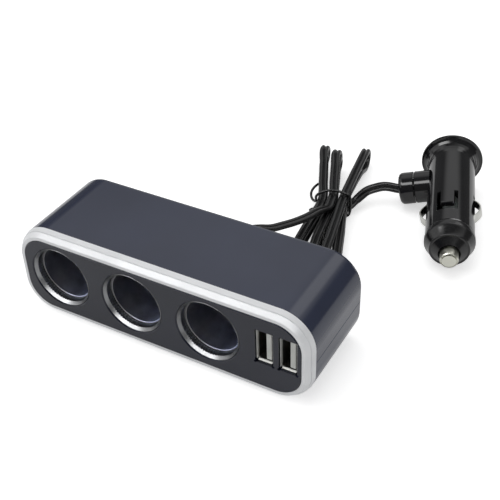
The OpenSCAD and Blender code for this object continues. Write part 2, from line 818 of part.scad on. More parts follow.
// Strain relief: a flange inside the back wall, a neck and a ribbed taper behind the housing
function relief_radius(s) = relief_r1 + (relief_r2 - relief_r1) * s;
module cord_relief() {
    flange_at = back_in - relief_flange_t;
    step = relief_l / (2 * relief_ribs + 1);
    ribs = [for (k = [0:relief_ribs - 1]) let (d = body_d + (2 * k + 1) * step,
        r = relief_radius((2 * k + 1) / (2 * relief_ribs + 1)))
        each [[r, d], [r - relief_groove, d], [r - relief_groove, d + step], [r, d + step]]];
    color("#232325") along_depth(relief_x, seam_h) rotate_extrude($fn = round_fn) polygon(concat(
        [[0, flange_at], [relief_flange_r, flange_at], [relief_flange_r, back_in],
            [relief_neck_r, back_in], [relief_neck_r, body_d], [relief_r1, body_d]],
        ribs,
        [[relief_r2, body_d + relief_l], [0, body_d + relief_l]]
    ));
}

// The cord. Its outline is a flat lozenge with blunt ends, side to side and up.
function lead_outline() = [for (a = [22.5:45:337.5])
    [sign(cos(a)) * min(abs(cos(a)) * 1.3, 1) * cord_w / 2, sin(a) / cos(22.5) * cord_t / 2]];
function strand_outline() = [for (a = [0:60:300]) [cos(a) * cord_w / 2, sin(a) / sin(60) * cord_t / 2]];
function wire_outline(d, n) = [for (i = [0:n - 1]) [cos(360 * i / n) * d / 2, sin(360 * i / n) * d / 2]];

function unit(v) = v / norm(v);
// Direction of travel at point i, and the side and up directions across it
function heading(p, i) = unit(p[min(i + 1, len(p) - 1)] - p[max(i - 1, 0)]);
function across(v, side) = unit(side - (side * v) * v);
function rings(p, sides, outline) = [for (i = [0:len(p) - 1])
    let (v = heading(p, i), s = across(v, sides[i]), u = cross(s, v))
    for (q = outline) p[i] + q.x * s + q.y * u];
// One closed tube: the outline swept along the points, with flat ends
module sweep(p, sides, outline) {
    n = len(outline);
    m = len(p);
    skin = [for (i = [0:m - 2]) for (k = [0:n - 1]) let (a = i * n + k, b = i * n + (k + 1) % n)
        each [[a, b, b + n], [a, b + n, a + n]]];
    ends = [for (k = [1:n - 2]) each [[0, k + 1, k], [(m - 1) * n, (m - 1) * n + k, (m - 1) * n + k + 1]]];
    polyhedron(points = rings(p, sides, outline), faces = concat(skin, ends), convexity = 10);
}
function level_side(p) = [for (i = [0:len(p) - 1]) unit(cross(heading(p, i), [0, 0, 1]))];
// A curve through the points, with steps rings between two of them
function curve_point(a, b, c, d, t) = 0.5 * (2 * b + (c - a) * t + (2 * a - 5 * b + 4 * c - d) * t * t
    + (3 * b - a - 3 * c + d) * t * t * t);
function smooth(p, steps) = concat(
    [for (i = [0:len(p) - 2]) for (k = [0:steps - 1])
        curve_point(p[max(i - 1, 0)], p[i], p[i + 1], p[min(i + 2, len(p) - 1)], k / steps)],
    [p[len(p) - 1]]
);

relief_end = [relief_x, front_y + body_d + relief_l, seam_h];
function waist_z(r) = waist_h + r * row;
function level_z(r) = floor_h + r * row;
hank_start = hank_point([hank_in.x, hank_in.y * column, waist_z(hank_in.z)]);
hank_end = hank_point([hank_out.x, hank_out.y * column, waist_z(hank_out.z)]);
hank_start_lead = hank_point([hank_in.x - cord_w, hank_in.y * column, waist_z(hank_in.z)]);
hank_rest_point = [hank_rest, strands[8][0] * column, waist_z(strands[8][1])];
hank_end_bearing = unit(hank_end - hank_point(hank_rest_point));
hub_end = plug_point([-hub_out, 0, hub_at]);
hub_bearing = unit(plug_point([-1, 0, 0]) - plug_point([0, 0, 0]));

module cord_box_lead() {
    p = concat([relief_end, relief_end + [0, cord_w, 0]], box_route, [hank_start_lead, hank_start]);
    color("#1f1f21") sweep(p, level_side(p), lead_outline());
}

module cord_plug_lead() {
    p = concat([hank_end + cord_w / 2 * hank_end_bearing, hank_end + cord_w * hank_end_bearing], plug_route,
        [hub_end + lead_stub * hub_bearing]);
    q = concat([hank_end], smooth(p, 2), [hub_end]);
    color("#1f1f21") sweep(q, level_side(q), lead_outline());
}

// Half of a strand, from the tie to a fold: two points on the run, the start of the fold and two
// points round it. end is 1 at the far end and -1 at the near end.
function fold_len(k, end) = end > 0 ? hank_far * far_share[k] : hank_near * near_share[k];
function strand_u(j, end) = strands[j][end > 0 ? 2 : 4] * column;
function strand_level(j, end) = level_z(strands[j][end > 0 ? 3 : 5]);
function half_strand(j, k, other, end) =
    let (
        l = fold_len(k, end), z1 = strand_level(j, end), z2 = strand_level(other, end),
        u0 = strands[j][0] * column, u1 = strand_u(j, end), u2 = strand_u(other, end),
        r = abs(z1 - z2) / 2, zc = (z1 + z2) / 2, s = sign(z1 - zc), run = l - r,
        um = (u1 + u2) / 2, z0 = waist_z(strands[j][1])
    )
    concat(
        [for (f = run_share) [end * f * run, u0 + (u1 - u0) * f, z0 + (z1 - z0) * f * f]],
        [for (a = [90, 60, 30]) [end * (run + r * cos(a)), um + (u1 - um) * sin(a), zc + s * r * sin(a)]]
    );
function reversed(p) = [for (i = [len(p) - 1:-1:0]) p[i]];
function fold_tip(j, k, other, end) = [end * fold_len(k, end), (strand_u(j, end) + strand_u(other,
    end)) / 2,
    (strand_level(j, end) + strand_level(other, end)) / 2];
function waist_point(j) = [0, strands[j][0] * column, waist_z(strands[j][1])];
// One loop: out along strand 2k to the far fold, back along the next strand and round the near fold
function hank_loop(k) = let (a = 2 * k, b = 2 * k + 1, c = 2 * k + 2) concat(
    half_strand(a, k, b, 1), [fold_tip(a, k, b, 1)], reversed(half_strand(b, k, a, 1)),
    [waist_point(b)],
    half_strand(b, k, c, -1), [fold_tip(b, k, c, -1)], reversed(half_strand(c, k, b, -1)),
    [waist_point(c)]
);
hank_path = concat(
    [[hank_in.x, hank_in.y * column, waist_z(hank_in.z)], waist_point(0)],
    [for (k = [0:3]) each hank_loop(k)],
    [hank_rest_point, [hank_out.x, hank_out.y * column, waist_z(hank_out.z)]]
);
hank_points = [for (p = hank_path) hank_point(p)];
hank_across = turn_z([1, 0, 0], hank_yaw);

// Least gap of the hank to itself: the room between the outlines at two points along its middle,
// measured in the direction in which they are furthest apart
gap_steps = 6;
fold_points = 4;
function fine_points(p) = [for (i = [0:len(p) - 2]) for (k = [0:gap_steps - 1])
    p[i] + (p[i + 1] - p[i]) * k / gap_steps];
function reach(n, s, u) = max([for (q = strand_outline()) abs(q.x * (n * s) + q.y * (n * u))]);
function room(d, n, f, g) = abs(d * n) - reach(n, f[0], f[1]) - reach(n, g[0], g[1]);
function frames(p) = [for (i = [0:len(p) - 1])
    let (v = heading(p, i), s = across(v, hank_across)) [s, cross(s, v)]];
function least_gap(p, f) = min([for (i = [0:len(p) - 1])
    for (j = [i + fold_points * gap_steps:1:len(p) - 1])
    let (d = p[j] - p[i]) if (norm(d) < cord_w + cord_t)
        max([for (n = [unit(d), f[i][0], f[i][1], f[j][1]]) room(d, n, f[i], f[j])])]);

module cord_hank() {
    fine = fine_points(hank_points);
    echo(least_gap_of_the_hank = least_gap(fine, frames(fine)));
    color("#1f1f21") sweep(hank_points, [for (p = hank_points) hank_across], strand_outline());
}

// Wire tie: one turn around the strands, drawn in over the left ones, then a loop of its tail
tie_in = cord_w / 2 + column + tie_gap + seat_gap + tie_t / 2;
tie_top = waist_z(hank_in.z) + cord_t / 2 + tie_gap + tie_t / 2;
tie_low = tie_t / 2 + tie_gap / 3;
tie_corner = 2;
function tie_arc(u, z, a1, a2, t1, t2) = [for (i = [0:3]) let (f = i / 3, a = a1 + (a2 - a1) * f)
    [t1 + (t2 - t1) * f, u + tie_corner * cos(a), z + tie_corner * sin(a)]];
tie_shoulder = waist_z(strands[2][1]) + cord_t / 2 - tie_gap / 2;
tie_path = concat(
    [for (q = tie_start) [q.x, q.y - tie_in, q.z]],
    tie_arc(-tie_in + tie_corner, tie_low + tie_corner, 190, 270, -1, -0.6),
    tie_arc(tie_in - tie_corner, tie_low + tie_corner, 270, 360, -0.3, -0.1),
    tie_arc(tie_in - tie_corner, tie_top - tie_corner, 0, 90, 0.1, 0.4),
    [[0.9, -cord_w / 2 - 2 * tie_gap, tie_top], [0, -tie_in, tie_shoulder],
        [-0.1, -tie_in, tie_shoulder - cord_t]],
    [for (q = tie_tail) [q.x, q.y - tie_in, q.z]]
);

module hank_tie() {
    p = [for (q = tie_path) hank_point(q)];
    up_side = [for (q = p) turn_z([0, 1, 0], hank_yaw)];
    color("#19191b") sweep(p, up_side, wire_outline(tie_t, 8));
}

// Plug. Its axis is Z here, from the flange to the tip; X is right and Y is up.
module plug_skin() {
    flare = [for (a = [0:15:90]) [barrel_r + (flange_r - barrel_r) * (1 - sin(a)),
        rim_t + (neck_at - rim_t) * (1 - cos(a))]];
    inner_neck = rim_t + neck_at;
    rotate_extrude($fn = round_fn) polygon(concat(
        [[end_cap_r + seat_gap, 0], [flange_r - rim_t / 4, 0], [flange_r, rim_t / 4]],
        flare,
        [[barrel_r, barrel_l - joint_t], [barrel_r - joint_t, barrel_l], [spigot_r, barrel_l],
            [spigot_r, barrel_l + spigot_l], [spigot_r - spigot_wall, barrel_l + spigot_l],
            [spigot_r - spigot_wall, barrel_l - spigot_wall], [inner_r, barrel_l - 2 * spigot_wall],
            [inner_r, end_cap_t + end_cap_step], [end_cap_r + seat_gap, end_cap_t]]
    ));
}

module hub_boss() {
    translate([-inner_r, 0, hub_at]) rotate([0, -90, 0]) rotate_extrude($fn = round_fn) polygon([
        [0, 0], [hub_r, 0], [hub_r, hub_inner - inner_r - edge_t], [hub_r - edge_t, hub_inner - inner_r],
        [0, hub_inner - inner_r]
    ]);
}

module hub_cavity() {
    core_x = hub_inner - hub_wall;
    translate([-core_x, 0, hub_at]) rotate([0, 90, 0])
        cylinder(r = clip_r + move_gap, h = core_x - inner_r / 2, $fn = round_fn);
    translate([-hub_inner - over, 0, hub_at]) rotate([0, 90, 0])
        cylinder(r = neck_r + run_gap, h = hub_inner, $fn = round_fn);
}

module contact_slots() {
    for (s = [-1, 1]) {
        far = s * (barrel_r + over);
        near = s * (inner_r - over);
        block([min(far, near), -contact_w / 2 - contact_room, contact_at - contact_foot_gap],
            [max(far, near), contact_w / 2 + contact_room, contact_at + contact_l + contact_foot_gap]);
    }
}

module latch_window() {
    block([-window_w / 2, 0, window_at + latch_l], [window_w / 2, barrel_r + over, window_at + window_l]);
    for (s = [-1, 1]) {
        x1 = s < 0 ? -window_w / 2 : latch_w / 2;
        block([x1, 0, window_at], [x1 + (window_w - latch_w) / 2, barrel_r + over, window_at + window_l]);
    }
}

// Walls in the barrel that hold the fuse in line, open beside the contacts' feet
module fuse_walls() {
    for (z = fuse_wall_at) translate([0, 0, z]) difference() {
        cylinder(r = inner_r + barrel_wall / 2, h = fuse_wall_t, $fn = round_fn);
        translate([0, 0, -over]) cylinder(r = fuse_r + move_gap, h = fuse_wall_t + 2 * over,
            $fn = round_fn);
        for (s = [-1, 1]) translate([s * barrel_r, 0, 0])
            cube([2 * (barrel_r - fuse_r - barrel_wall), contact_w + 2 * contact_room,
                2 * (fuse_wall_t + over)], center = true);
    }
}

module plug_half() {
    difference() {
        union() {
            plug_skin();
            fuse_walls();
            difference() {
                hub_boss();
                cylinder(r = inner_r, h = barrel_l, $fn = round_fn);
            }
        }
        hub_cavity();
        contact_slots();
        children();
    }
}

// Ramp on the end of the latch tongue
module latch_ramp() {
    end = window_at + latch_l;
    translate([-latch_w / 2 + latch_edge, 0, 0]) rotate([90, 0, 90])
        linear_extrude(latch_w - 2 * latch_edge) polygon([
        [inner_r, end - latch_ramp], [barrel_r - latch_edge, end - latch_ramp],
            [barrel_r + latch_rise, end - latch_edge],
        [barrel_r + latch_rise / 2, end], [inner_r, end]
    ]);
}

module plug_upper_half() {
    color("#2a2a2c") on_plug() {
        intersection() {
            plug_half() latch_window();
            block([-hub_out, 0, -over], [hub_out, flange_r + over, face_end]);
        }
        latch_ramp();
    }
}

module plug_lower_half() {
    color("#262628") on_plug() intersection() {
        plug_half();
        block([-hub_out, -flange_r - over, -over], [hub_out, 0, face_end]);
    }
}

module plug_end_cap() {
    dome = [for (a = [0:15:90]) [end_cap_r * sin(a), end_cap_dome * (1 - cos(a)) - end_cap_dome]];
    color("#303033") on_plug() translate([0, 0, end_cap_dome]) rotate_extrude($fn = round_fn)
        polygon(concat(
        dome, [[end_cap_r, end_cap_t - end_cap_dome], [inner_r - end_cap_step, end_cap_t - end_cap_dome],
            [inner_r - end_cap_step, end_cap_t + end_cap_step], [0, end_cap_t + end_cap_step]]
    ));
}

// Swivel: the hub's outer disc, with the neck that turns in the boss
module plug_swivel() {
    round_end = [for (a = [0:15:90]) [hub_r - hub_corner + hub_corner * cos(a),
        hub_out - hub_corner + hub_corner * sin(a)]];
    color("#2c2c2e") on_plug() translate([0, 0, hub_at]) rotate([0, -90, 0]) rotate_extrude($fn = round_fn)
        polygon(concat(
        [[0, clip_at - clip_edge], [neck_r, clip_at - clip_edge], [neck_r, clip_at - run_gap],
            [clip_groove_r, clip_at - run_gap], [clip_groove_r, clip_at + clip_t + run_gap],
            [neck_r, clip_at + clip_t + run_gap], [neck_r, hub_inner + hub_groove],
            [hub_r - edge_t, hub_inner + hub_groove], [hub_r, hub_inner + hub_groove + edge_t]],
        round_end,
        [[0, hub_out]]
    ));
}

// Open clip in the neck's groove, behind the boss's end wall
module plug_swivel_clip() {
    color("#9a9c9b") on_plug() translate([-clip_at, 0, hub_at]) rotate([0, -90, 0]) difference() {
        cylinder(r = clip_r, h = clip_t, $fn = round_fn);
        translate([0, 0, -over]) cylinder(r = clip_groove_r + run_gap, h = clip_t + 2 * over,
            $fn = round_fn);
        translate([0, -clip_mouth / 2, -over]) cube([clip_r + over, clip_mouth, clip_t + 2 * over]);
    }
}

// Nose cap: screwed over the spigot, holding the halves together and the tip in
module nose_cap() {
    side = [for (s = nose_side_share) [nose_r * s.x, barrel_l + nose_flat + (nose_l - nose_flat) * s.y]];
    face = [[nose_edge_r, barrel_l + nose_l - nose_bevel], [nose_edge_r - nose_bevel, barrel_l + nose_l],
        [tip_r + nose_mouth, face_end], [tip_r + run_gap, face_end - nose_mouth_d]];
    seat = shoulder_at + tip_shoulder_t + seat_gap;
    color("#1e1e20") on_plug() rotate_extrude($fn = round_fn) polygon(concat(
        [[spigot_r + seat_gap, barrel_l + seat_gap], [nose_r - joint_t, barrel_l + seat_gap],
            [nose_r, barrel_l + seat_gap + joint_t]],
        side, face,
        [[tip_r + run_gap, seat], [nose_room_r, seat], [nose_room_r, barrel_l + spigot_l + seat_gap],
            [spigot_r + seat_gap, barrel_l + spigot_l + seat_gap]]
    ));
}

module plug_tip() {
    cup_r = fuse_r + 0.4 * (tip_shoulder_r - fuse_r);
    button_r = tip_button_share * tip_r;
    rim = tip_end - tip_round;
    color("#c3c3b6") on_plug() rotate_extrude($fn = round_fn) polygon([
        [0, tip_back], [cup_r, tip_back], [cup_r, shoulder_at], [tip_shoulder_r, shoulder_at],
        [tip_shoulder_r, shoulder_at + tip_shoulder_t], [tip_r, shoulder_at + tip_shoulder_t],
        [tip_r, rim - 2 * tip_round], [tip_r - tip_round / 2, rim - tip_round / 2],
        [button_r + tip_groove, rim], [button_r, rim - tip_groove_d],
        [button_r, tip_end - tip_round / 2], [button_r - tip_round / 2, tip_end], [0, tip_end]
    ]);
}

module plug_fuse() {
    glass = fuse_r - fuse_glass_in;
    color("#cfd6d2") on_plug() rotate_extrude($fn = round_fn) polygon([
        [0, fuse_at], [fuse_r, fuse_at], [fuse_r, fuse_at + fuse_cap_l], [glass, fuse_at + fuse_cap_l],
        [glass, tip_back - fuse_cap_l], [fuse_r, tip_back - fuse_cap_l], [fuse_r, tip_back], [0, tip_back]
    ]);
}

// Fuse spring: open turns between two flat ones, as one swept wire
module fuse_spring() {
    l = fuse_at - spring_at - 2 * spring_wire_r;
    rings_per_turn = 8;
    n = spring_turns * rings_per_turn;
    coil = [for (i = [0:n]) let (a = 360 * i / rings_per_turn, f = i / n) [spring_r * cos(a),
        spring_r * sin(a), spring_at + spring_wire_r + f * l]];
    outward = [for (i = [0:n]) let (a = 360 * i / rings_per_turn) [cos(a), sin(a), 0]];
    color("#a8aaa8") on_plug() sweep(coil, outward, wire_outline(2 * spring_wire_r, 6));
}

module spring_seat() {
    color("#b59a52") on_plug() translate([0, 0, seat_at]) intersection() {
        cylinder(r = seat_r, h = seat_t, $fn = round_fn);
        block([-barrel_r, -fuse_r - barrel_wall, -over], [barrel_r, fuse_r + barrel_wall, seat_t + over]);
    }
}

// Side contact: a bowed strip whose feet lie behind the ends of its slot
function bow(f) = contact_foot_r + (barrel_r + contact_out - contact_t / 2 - contact_foot_r) * sin(180 * f);
module contact_strip() {
    n = 14;
    rise = [for (i = [0:n]) [bow(i / n), contact_at + contact_t + (contact_l - 2 * contact_t) * i / n]];
    mid = concat([[contact_foot_r, contact_at - contact_foot]], rise, [[contact_foot_r,
        contact_at + contact_l + contact_foot]]);
    outer = [for (p = mid) p + [contact_t / 2, 0]];
    inner = [for (p = mid) p - [contact_t / 2, 0]];
    translate([0, contact_w / 2, 0]) rotate([90, 0, 0]) linear_extrude(contact_w)
        polygon(concat(outer, reversed(inner)));
}

module side_contact_left() {
    color("#a9a9a3") on_plug() mirror([1, 0, 0]) contact_strip();
}

module side_contact_right() {
    color("#a9a9a3") on_plug() contact_strip();
}

module plug_wires() {
    y = neck_r / 2;
    x1 = clip_edge - clip_at;
    x2 = x1 + 2 * wire_r + wire_bend;
    color("#a33a34") on_plug() wire([[x1, y, hub_at], [x2, y, hub_at], [-y, y, hub_at],
        [-y, y, seat_at]], wire_r);
    color("#1d1d1f") on_plug() wire([[x1, -y, hub_at], [x2, -y, hub_at], [y, -y, hub_at],
        [y, -y, seat_at]], wire_r);
}

upper_shell();
lower_shell();
trim_frame();
front_plate();
mouth_ring(0);  // mouth_ring_left
mouth_ring(1);  // mouth_ring_middle
mouth_ring(2);  // mouth_ring_right
socket_tube(0);  // socket_tube_left
socket_tube(1);  // socket_tube_middle
socket_tube(2);  // socket_tube_right
socket_insulator(0);  // socket_insulator_left
socket_insulator(1);  // socket_insulator_middle
socket_insulator(2);  // socket_insulator_right
centre_contact(0);  // centre_contact_left
centre_contact(1);  // centre_contact_middle
centre_contact(2);  // centre_contact_right
positive_bus();
ground_bus();
supply_wires();
usb_board();
usb_shell(0);  // usb_shell_inner
usb_shell(1);  // usb_shell_outer
usb_tongue(0);  // usb_tongue_inner
usb_tongue(1);  // usb_tongue_outer
usb_contacts();
power_coil();
filter_capacitor();
converter_chip();
housing_screws();
cord_relief();
cord_box_lead();
cord_hank();
cord_plug_lead();
hank_tie();
plug_upper_half();
plug_lower_half();
plug_end_cap();
plug_swivel();
plug_swivel_clip();
nose_cap();
plug_tip();
plug_fuse();
fuse_spring();
spring_seat();
side_contact_left();
side_contact_right();
plug_wires();
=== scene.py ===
"""Looks for a car power socket splitter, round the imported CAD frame: its finishes, the flat twin cord in its hank, the
wire tie, the plug's fuse spring, nose cap and tip, and the knurled mouth rings. Lengths in the tables are millimetres
and become metres in the meshes."""

import json
import math

import bpy
import numpy as np
from mathutils import Matrix, Vector


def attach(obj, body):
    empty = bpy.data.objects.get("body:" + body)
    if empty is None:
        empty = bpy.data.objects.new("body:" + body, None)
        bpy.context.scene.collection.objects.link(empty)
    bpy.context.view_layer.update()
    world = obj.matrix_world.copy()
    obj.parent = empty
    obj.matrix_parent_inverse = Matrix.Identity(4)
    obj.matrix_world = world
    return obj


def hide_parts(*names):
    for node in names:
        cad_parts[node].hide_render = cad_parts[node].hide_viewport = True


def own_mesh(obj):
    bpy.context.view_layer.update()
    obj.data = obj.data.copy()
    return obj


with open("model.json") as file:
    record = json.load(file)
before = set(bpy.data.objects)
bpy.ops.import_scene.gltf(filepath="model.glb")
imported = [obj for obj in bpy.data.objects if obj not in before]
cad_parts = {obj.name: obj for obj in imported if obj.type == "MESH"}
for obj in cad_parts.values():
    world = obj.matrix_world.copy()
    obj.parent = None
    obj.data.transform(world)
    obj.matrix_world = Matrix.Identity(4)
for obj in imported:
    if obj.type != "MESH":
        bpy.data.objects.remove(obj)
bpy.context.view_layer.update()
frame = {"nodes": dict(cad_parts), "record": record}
MM = 0.001
BODY = "splitter"
scene = bpy.context.scene

# Camera
CAMERA_AZIMUTH, CAMERA_ELEVATION, CAMERA_ROLL = 30.463, 37.438, -1.963
CAMERA_SHIFT_RIGHT, CAMERA_SHIFT_UP, CAMERA_DISTANCE = 32.542, 36.775, 338.274
FOCAL_PIXELS, PHOTO_PIXELS, SENSOR_WIDTH = 945.245, 500.0, 36.0
PLATE_DEPTH = 20.5


def photo_camera():
    """The camera of the photograph: it looks along -back, where back has the azimuth and elevation above, and its
    right and up turn by the roll. Its eye is right * a + up * b + back * distance from the front plate's foot."""
    azimuth, elevation, roll = (math.radians(v) for v in (CAMERA_AZIMUTH, CAMERA_ELEVATION, CAMERA_ROLL))
    back = np.array([math.sin(azimuth) * math.cos(elevation), -math.cos(azimuth) * math.cos(elevation),
                     math.sin(elevation)])
    level = np.cross(-back, [0.0, 0.0, 1.0])
    level /= np.linalg.norm(level)
    above = np.cross(level, -back)
    right = math.cos(roll) * level + math.sin(roll) * above
    up = -math.sin(roll) * level + math.cos(roll) * above
    eye = right * CAMERA_SHIFT_RIGHT + up * CAMERA_SHIFT_UP + back * CAMERA_DISTANCE - [0.0, PLATE_DEPTH, 0.0]
    data = bpy.data.cameras.new("photo_camera")
    data.sensor_width = SENSOR_WIDTH
    data.lens = FOCAL_PIXELS / PHOTO_PIXELS * SENSOR_WIDTH
    data.clip_start, data.clip_end = 0.01, 20.0
    camera = bpy.data.objects.new("photo_camera", data)
    camera.matrix_world = Matrix([[right[i], up[i], back[i], eye[i] * MM] for i in range(3)] + [[0, 0, 0, 1]])
    scene.collection.objects.link(camera)
    scene.camera = camera


photo_camera()


# Finishes
NOISE_MIDDLE, BLEND_MIDDLE = (0.3, 0.7), (0.35, 0.65)
SMEAR_SCALE, SMEAR_DETAIL, GRAIN_DETAIL = 2.3, 5.0, 2.0
TARNISH_SCALE, TARNISH_DETAIL, LINE_DETAIL, LINE_SQUEEZE = 180.0, 4.0, 2.0, 0.02


def empty_tree(owner):
    """The node tree of a material or a world, with nothing in it."""
    owner.use_nodes = True
    owner.node_tree.nodes.clear()
    return owner.node_tree


def new_finish(name):
    """A finish with a Principled shader and its output, and the Object coordinates."""
    finish = bpy.data.materials.new(name)
    tree = empty_tree(finish)
    shader = tree.nodes.new("ShaderNodeBsdfPrincipled")
    output = tree.nodes.new("ShaderNodeOutputMaterial")
    place = tree.nodes.new("ShaderNodeTexCoord")
    tree.links.new(shader.outputs["BSDF"], output.inputs["Surface"])
    return finish, tree, shader, place.outputs["Object"]


def noise(tree, place, scale, detail=3.0, stretch=(1.0, 1.0, 1.0)):
    """Noise of so many blotches a metre, stretched by a Mapping node."""
    mapping = tree.nodes.new("ShaderNodeMapping")
    mapping.inputs["Scale"].default_value = stretch
    tree.links.new(place, mapping.inputs["Vector"])
    texture = tree.nodes.new("ShaderNodeTexNoise")
    texture.inputs["Scale"].default_value = scale
    texture.inputs["Detail"].default_value = detail
    tree.links.new(mapping.outputs["Vector"], texture.inputs["Vector"])
    return texture.outputs["Fac"]


def spread(tree, value, low, high):
    """The value's middle part stretched between low and high."""
    span = tree.nodes.new("ShaderNodeMapRange")
    for key, number in zip(("From Min", "From Max", "To Min", "To Max"), (*NOISE_MIDDLE, low, high)):
        span.inputs[key].default_value = number
    tree.links.new(value, span.inputs["Value"])
    return span.outputs["Result"]


def blend_colours(tree, value, dark, light):
    """A ramp from the dark colour to the light one."""
    ramp = tree.nodes.new("ShaderNodeValToRGB")
    for stop, position, colour in zip(ramp.color_ramp.elements, BLEND_MIDDLE, (dark, light)):
        stop.position, stop.color = position, (*colour, 1)
    tree.links.new(value, ramp.inputs["Fac"])
    return ramp.outputs["Color"]


def relief(tree, shader, height, depth):
    """Bump of so many millimetres from a height between 0 and 1."""
    bump = tree.nodes.new("ShaderNodeBump")
    bump.inputs["Distance"].default_value = depth * MM
    bump.inputs["Strength"].default_value = 1.0
    tree.links.new(height, bump.inputs["Height"])
    tree.links.new(bump.outputs["Normal"], shader.inputs["Normal"])


def moulded(name, colour, roughness, vary=0.12, cloud=60.0, grain=2600.0, depth=0.004, rough_span=0.05, specular=0.5,
            metallic=0.0):
    """Moulded plastic, paint, rubber or smooth metal: clouds in the colour, a wandering gloss and a fine grain in
    relief. cloud and grain are blotches a metre, and depth is in millimetres."""
    finish, tree, shader, place = new_finish(name)
    clouds = noise(tree, place, cloud)
    dark = [c * (1 - vary) for c in colour]
    light = [min(1.0, c * (1 + vary)) for c in colour]
    tree.links.new(blend_colours(tree, clouds, dark, light), shader.inputs["Base Color"])
    smears = noise(tree, place, cloud * SMEAR_SCALE, SMEAR_DETAIL)
    tree.links.new(spread(tree, smears, roughness - rough_span, roughness + rough_span), shader.inputs["Roughness"])
    relief(tree, shader, noise(tree, place, grain, GRAIN_DETAIL), depth)
    shader.inputs["Metallic"].default_value = metallic
    shader.inputs["Specular IOR Level"].default_value = specular
    return finish


def drawn_metal(name, colour, roughness, along="y", lines=3000.0, vary=0.15, rough_span=0.08, depth=0.003):
    """Sheet or turned metal: fine drawing lines along one axis, with tarnish in the colour."""
    finish, tree, shader, place = new_finish(name)
    stretch = [LINE_SQUEEZE if axis == along else 1 for axis in "xyz"]
    streaks = noise(tree, place, lines, LINE_DETAIL, stretch)
    tarnish = noise(tree, place, TARNISH_SCALE, TARNISH_DETAIL)
    dark = [c * (1 - vary) for c in colour]
    light = [min(1.0, c * (1 + vary)) for c in colour]
    tree.links.new(blend_colours(tree, tarnish, dark, light), shader.inputs["Base Color"])
    tree.links.new(spread(tree, streaks, roughness - rough_span, roughness + rough_span), shader.inputs["Roughness"])
    relief(tree, shader, streaks, depth)
    shader.inputs["Metallic"].default_value = 1.0
    return finish


FINISHES = {
    "housing_plastic": moulded("glossy_shell_plastic", (0.029, 0.035, 0.062), 0.15, vary=0.12, cloud=20.0, depth=0.002,
                               rough_span=0.04),
    "silver_frame": moulded("silver_frame_paint", (0.79, 0.8, 0.815), 0.4, vary=0.03, grain=5200.0, depth=0.003,
                            metallic=0.12),
    "face_plastic": moulded("front_plate_plastic", (0.0085, 0.0105, 0.021), 0.22, vary=0.15, cloud=30.0, depth=0.002,
                            specular=0.42),
    "mouth_chrome": drawn_metal("mouth_ring_chrome", (0.28, 0.283, 0.29), 0.34),
    "tube_steel": drawn_metal("rolled_tube_steel", (0.38, 0.4, 0.49), 0.35),
    "insulator": moulded("insulator_plastic", (0.03, 0.03, 0.033), 0.55),
    "contact_brass": drawn_metal("contact_brass", (0.66, 0.47, 0.2), 0.3),
    "board": moulded("board_mask", (0.03, 0.17, 0.08), 0.4),
    "usb_tongue": moulded("port_tongue_plastic", (0.6, 0.61, 0.58), 0.4),
    "ferrite": moulded("coil_ferrite", (0.05, 0.045, 0.042), 0.6),
    "can_aluminium": moulded("capacitor_sleeve", (0.05, 0.07, 0.14), 0.35),
    "chip_plastic": moulded("chip_plastic", (0.018, 0.018, 0.019), 0.5),
    "screw_steel": drawn_metal("zinc_screw_steel", (0.42, 0.42, 0.41), 0.35),
    "relief_rubber": moulded("strain_relief_rubber", (0.016, 0.016, 0.017), 0.5, grain=3800.0, depth=0.01),
    "cord_jacket": moulded("cord_jacket", (0.0055, 0.0055, 0.006), 0.3, grain=1400.0, depth=0.0015),
    "tie_plastic": moulded("wire_tie_plastic", (0.006, 0.006, 0.0065), 0.3),
    "plug_plastic": moulded("polished_plug_plastic", (0.0095, 0.0095, 0.0105), 0.09, cloud=45.0, depth=0.001,
                            rough_span=0.02),
    "nose_plastic": moulded("polished_nose_plastic", (0.0085, 0.0085, 0.0092), 0.19, cloud=45.0, depth=0.001,
                            rough_span=0.02),
    "tip_nickel": moulded("turned_tip_nickel", (0.62, 0.62, 0.55), 0.3, vary=0.04, cloud=120.0, depth=0.0,
                          rough_span=0.02, metallic=1.0),
    "fuse_glass": moulded("fuse_tube", (0.6, 0.66, 0.64), 0.1),
    "spring_steel": drawn_metal("contact_spring_steel", (0.58, 0.58, 0.55), 0.22, along="z"),
    "wire_insulation": moulded("wire_insulation", (0.2, 0.03, 0.025), 0.4),
}


def graded(finish, axis, first, last, colours):
    """Paints light and shade into a finish's colour: multiplies it by a ramp between two colours, from the first to
    the last millimetre along an axis of the frame."""
    tree = finish.node_tree
    shader = next(n for n in tree.nodes if n.type == "BSDF_PRINCIPLED")
    plain = shader.inputs["Base Color"].links[0].from_socket
    place = next(n for n in tree.nodes if n.type == "TEX_COORD")
    parts, span, mix = (tree.nodes.new("ShaderNode" + kind) for kind in ("SeparateXYZ", "MapRange", "MixRGB"))
    mix.blend_type = "MULTIPLY"
    mix.inputs["Fac"].default_value = 1.0
    for key, number in (("From Min", first), ("From Max", last)):
        span.inputs[key].default_value = number * MM
    ramp = tree.nodes.new("ShaderNodeValToRGB")
    for stop, colour in zip(ramp.color_ramp.elements, colours):
        stop.color = (*colour, 1)
    tree.links.new(place.outputs["Object"], parts.inputs["Vector"])
    tree.links.new(parts.outputs[axis], span.inputs["Value"])
    tree.links.new(span.outputs["Result"], ramp.inputs["Fac"])
    tree.links.new(plain, mix.inputs["Color1"])
    tree.links.new(ramp.outputs["Color"], mix.inputs["Color2"])
    tree.links.new(mix.outputs["Color"], shader.inputs["Base Color"])
    return finish


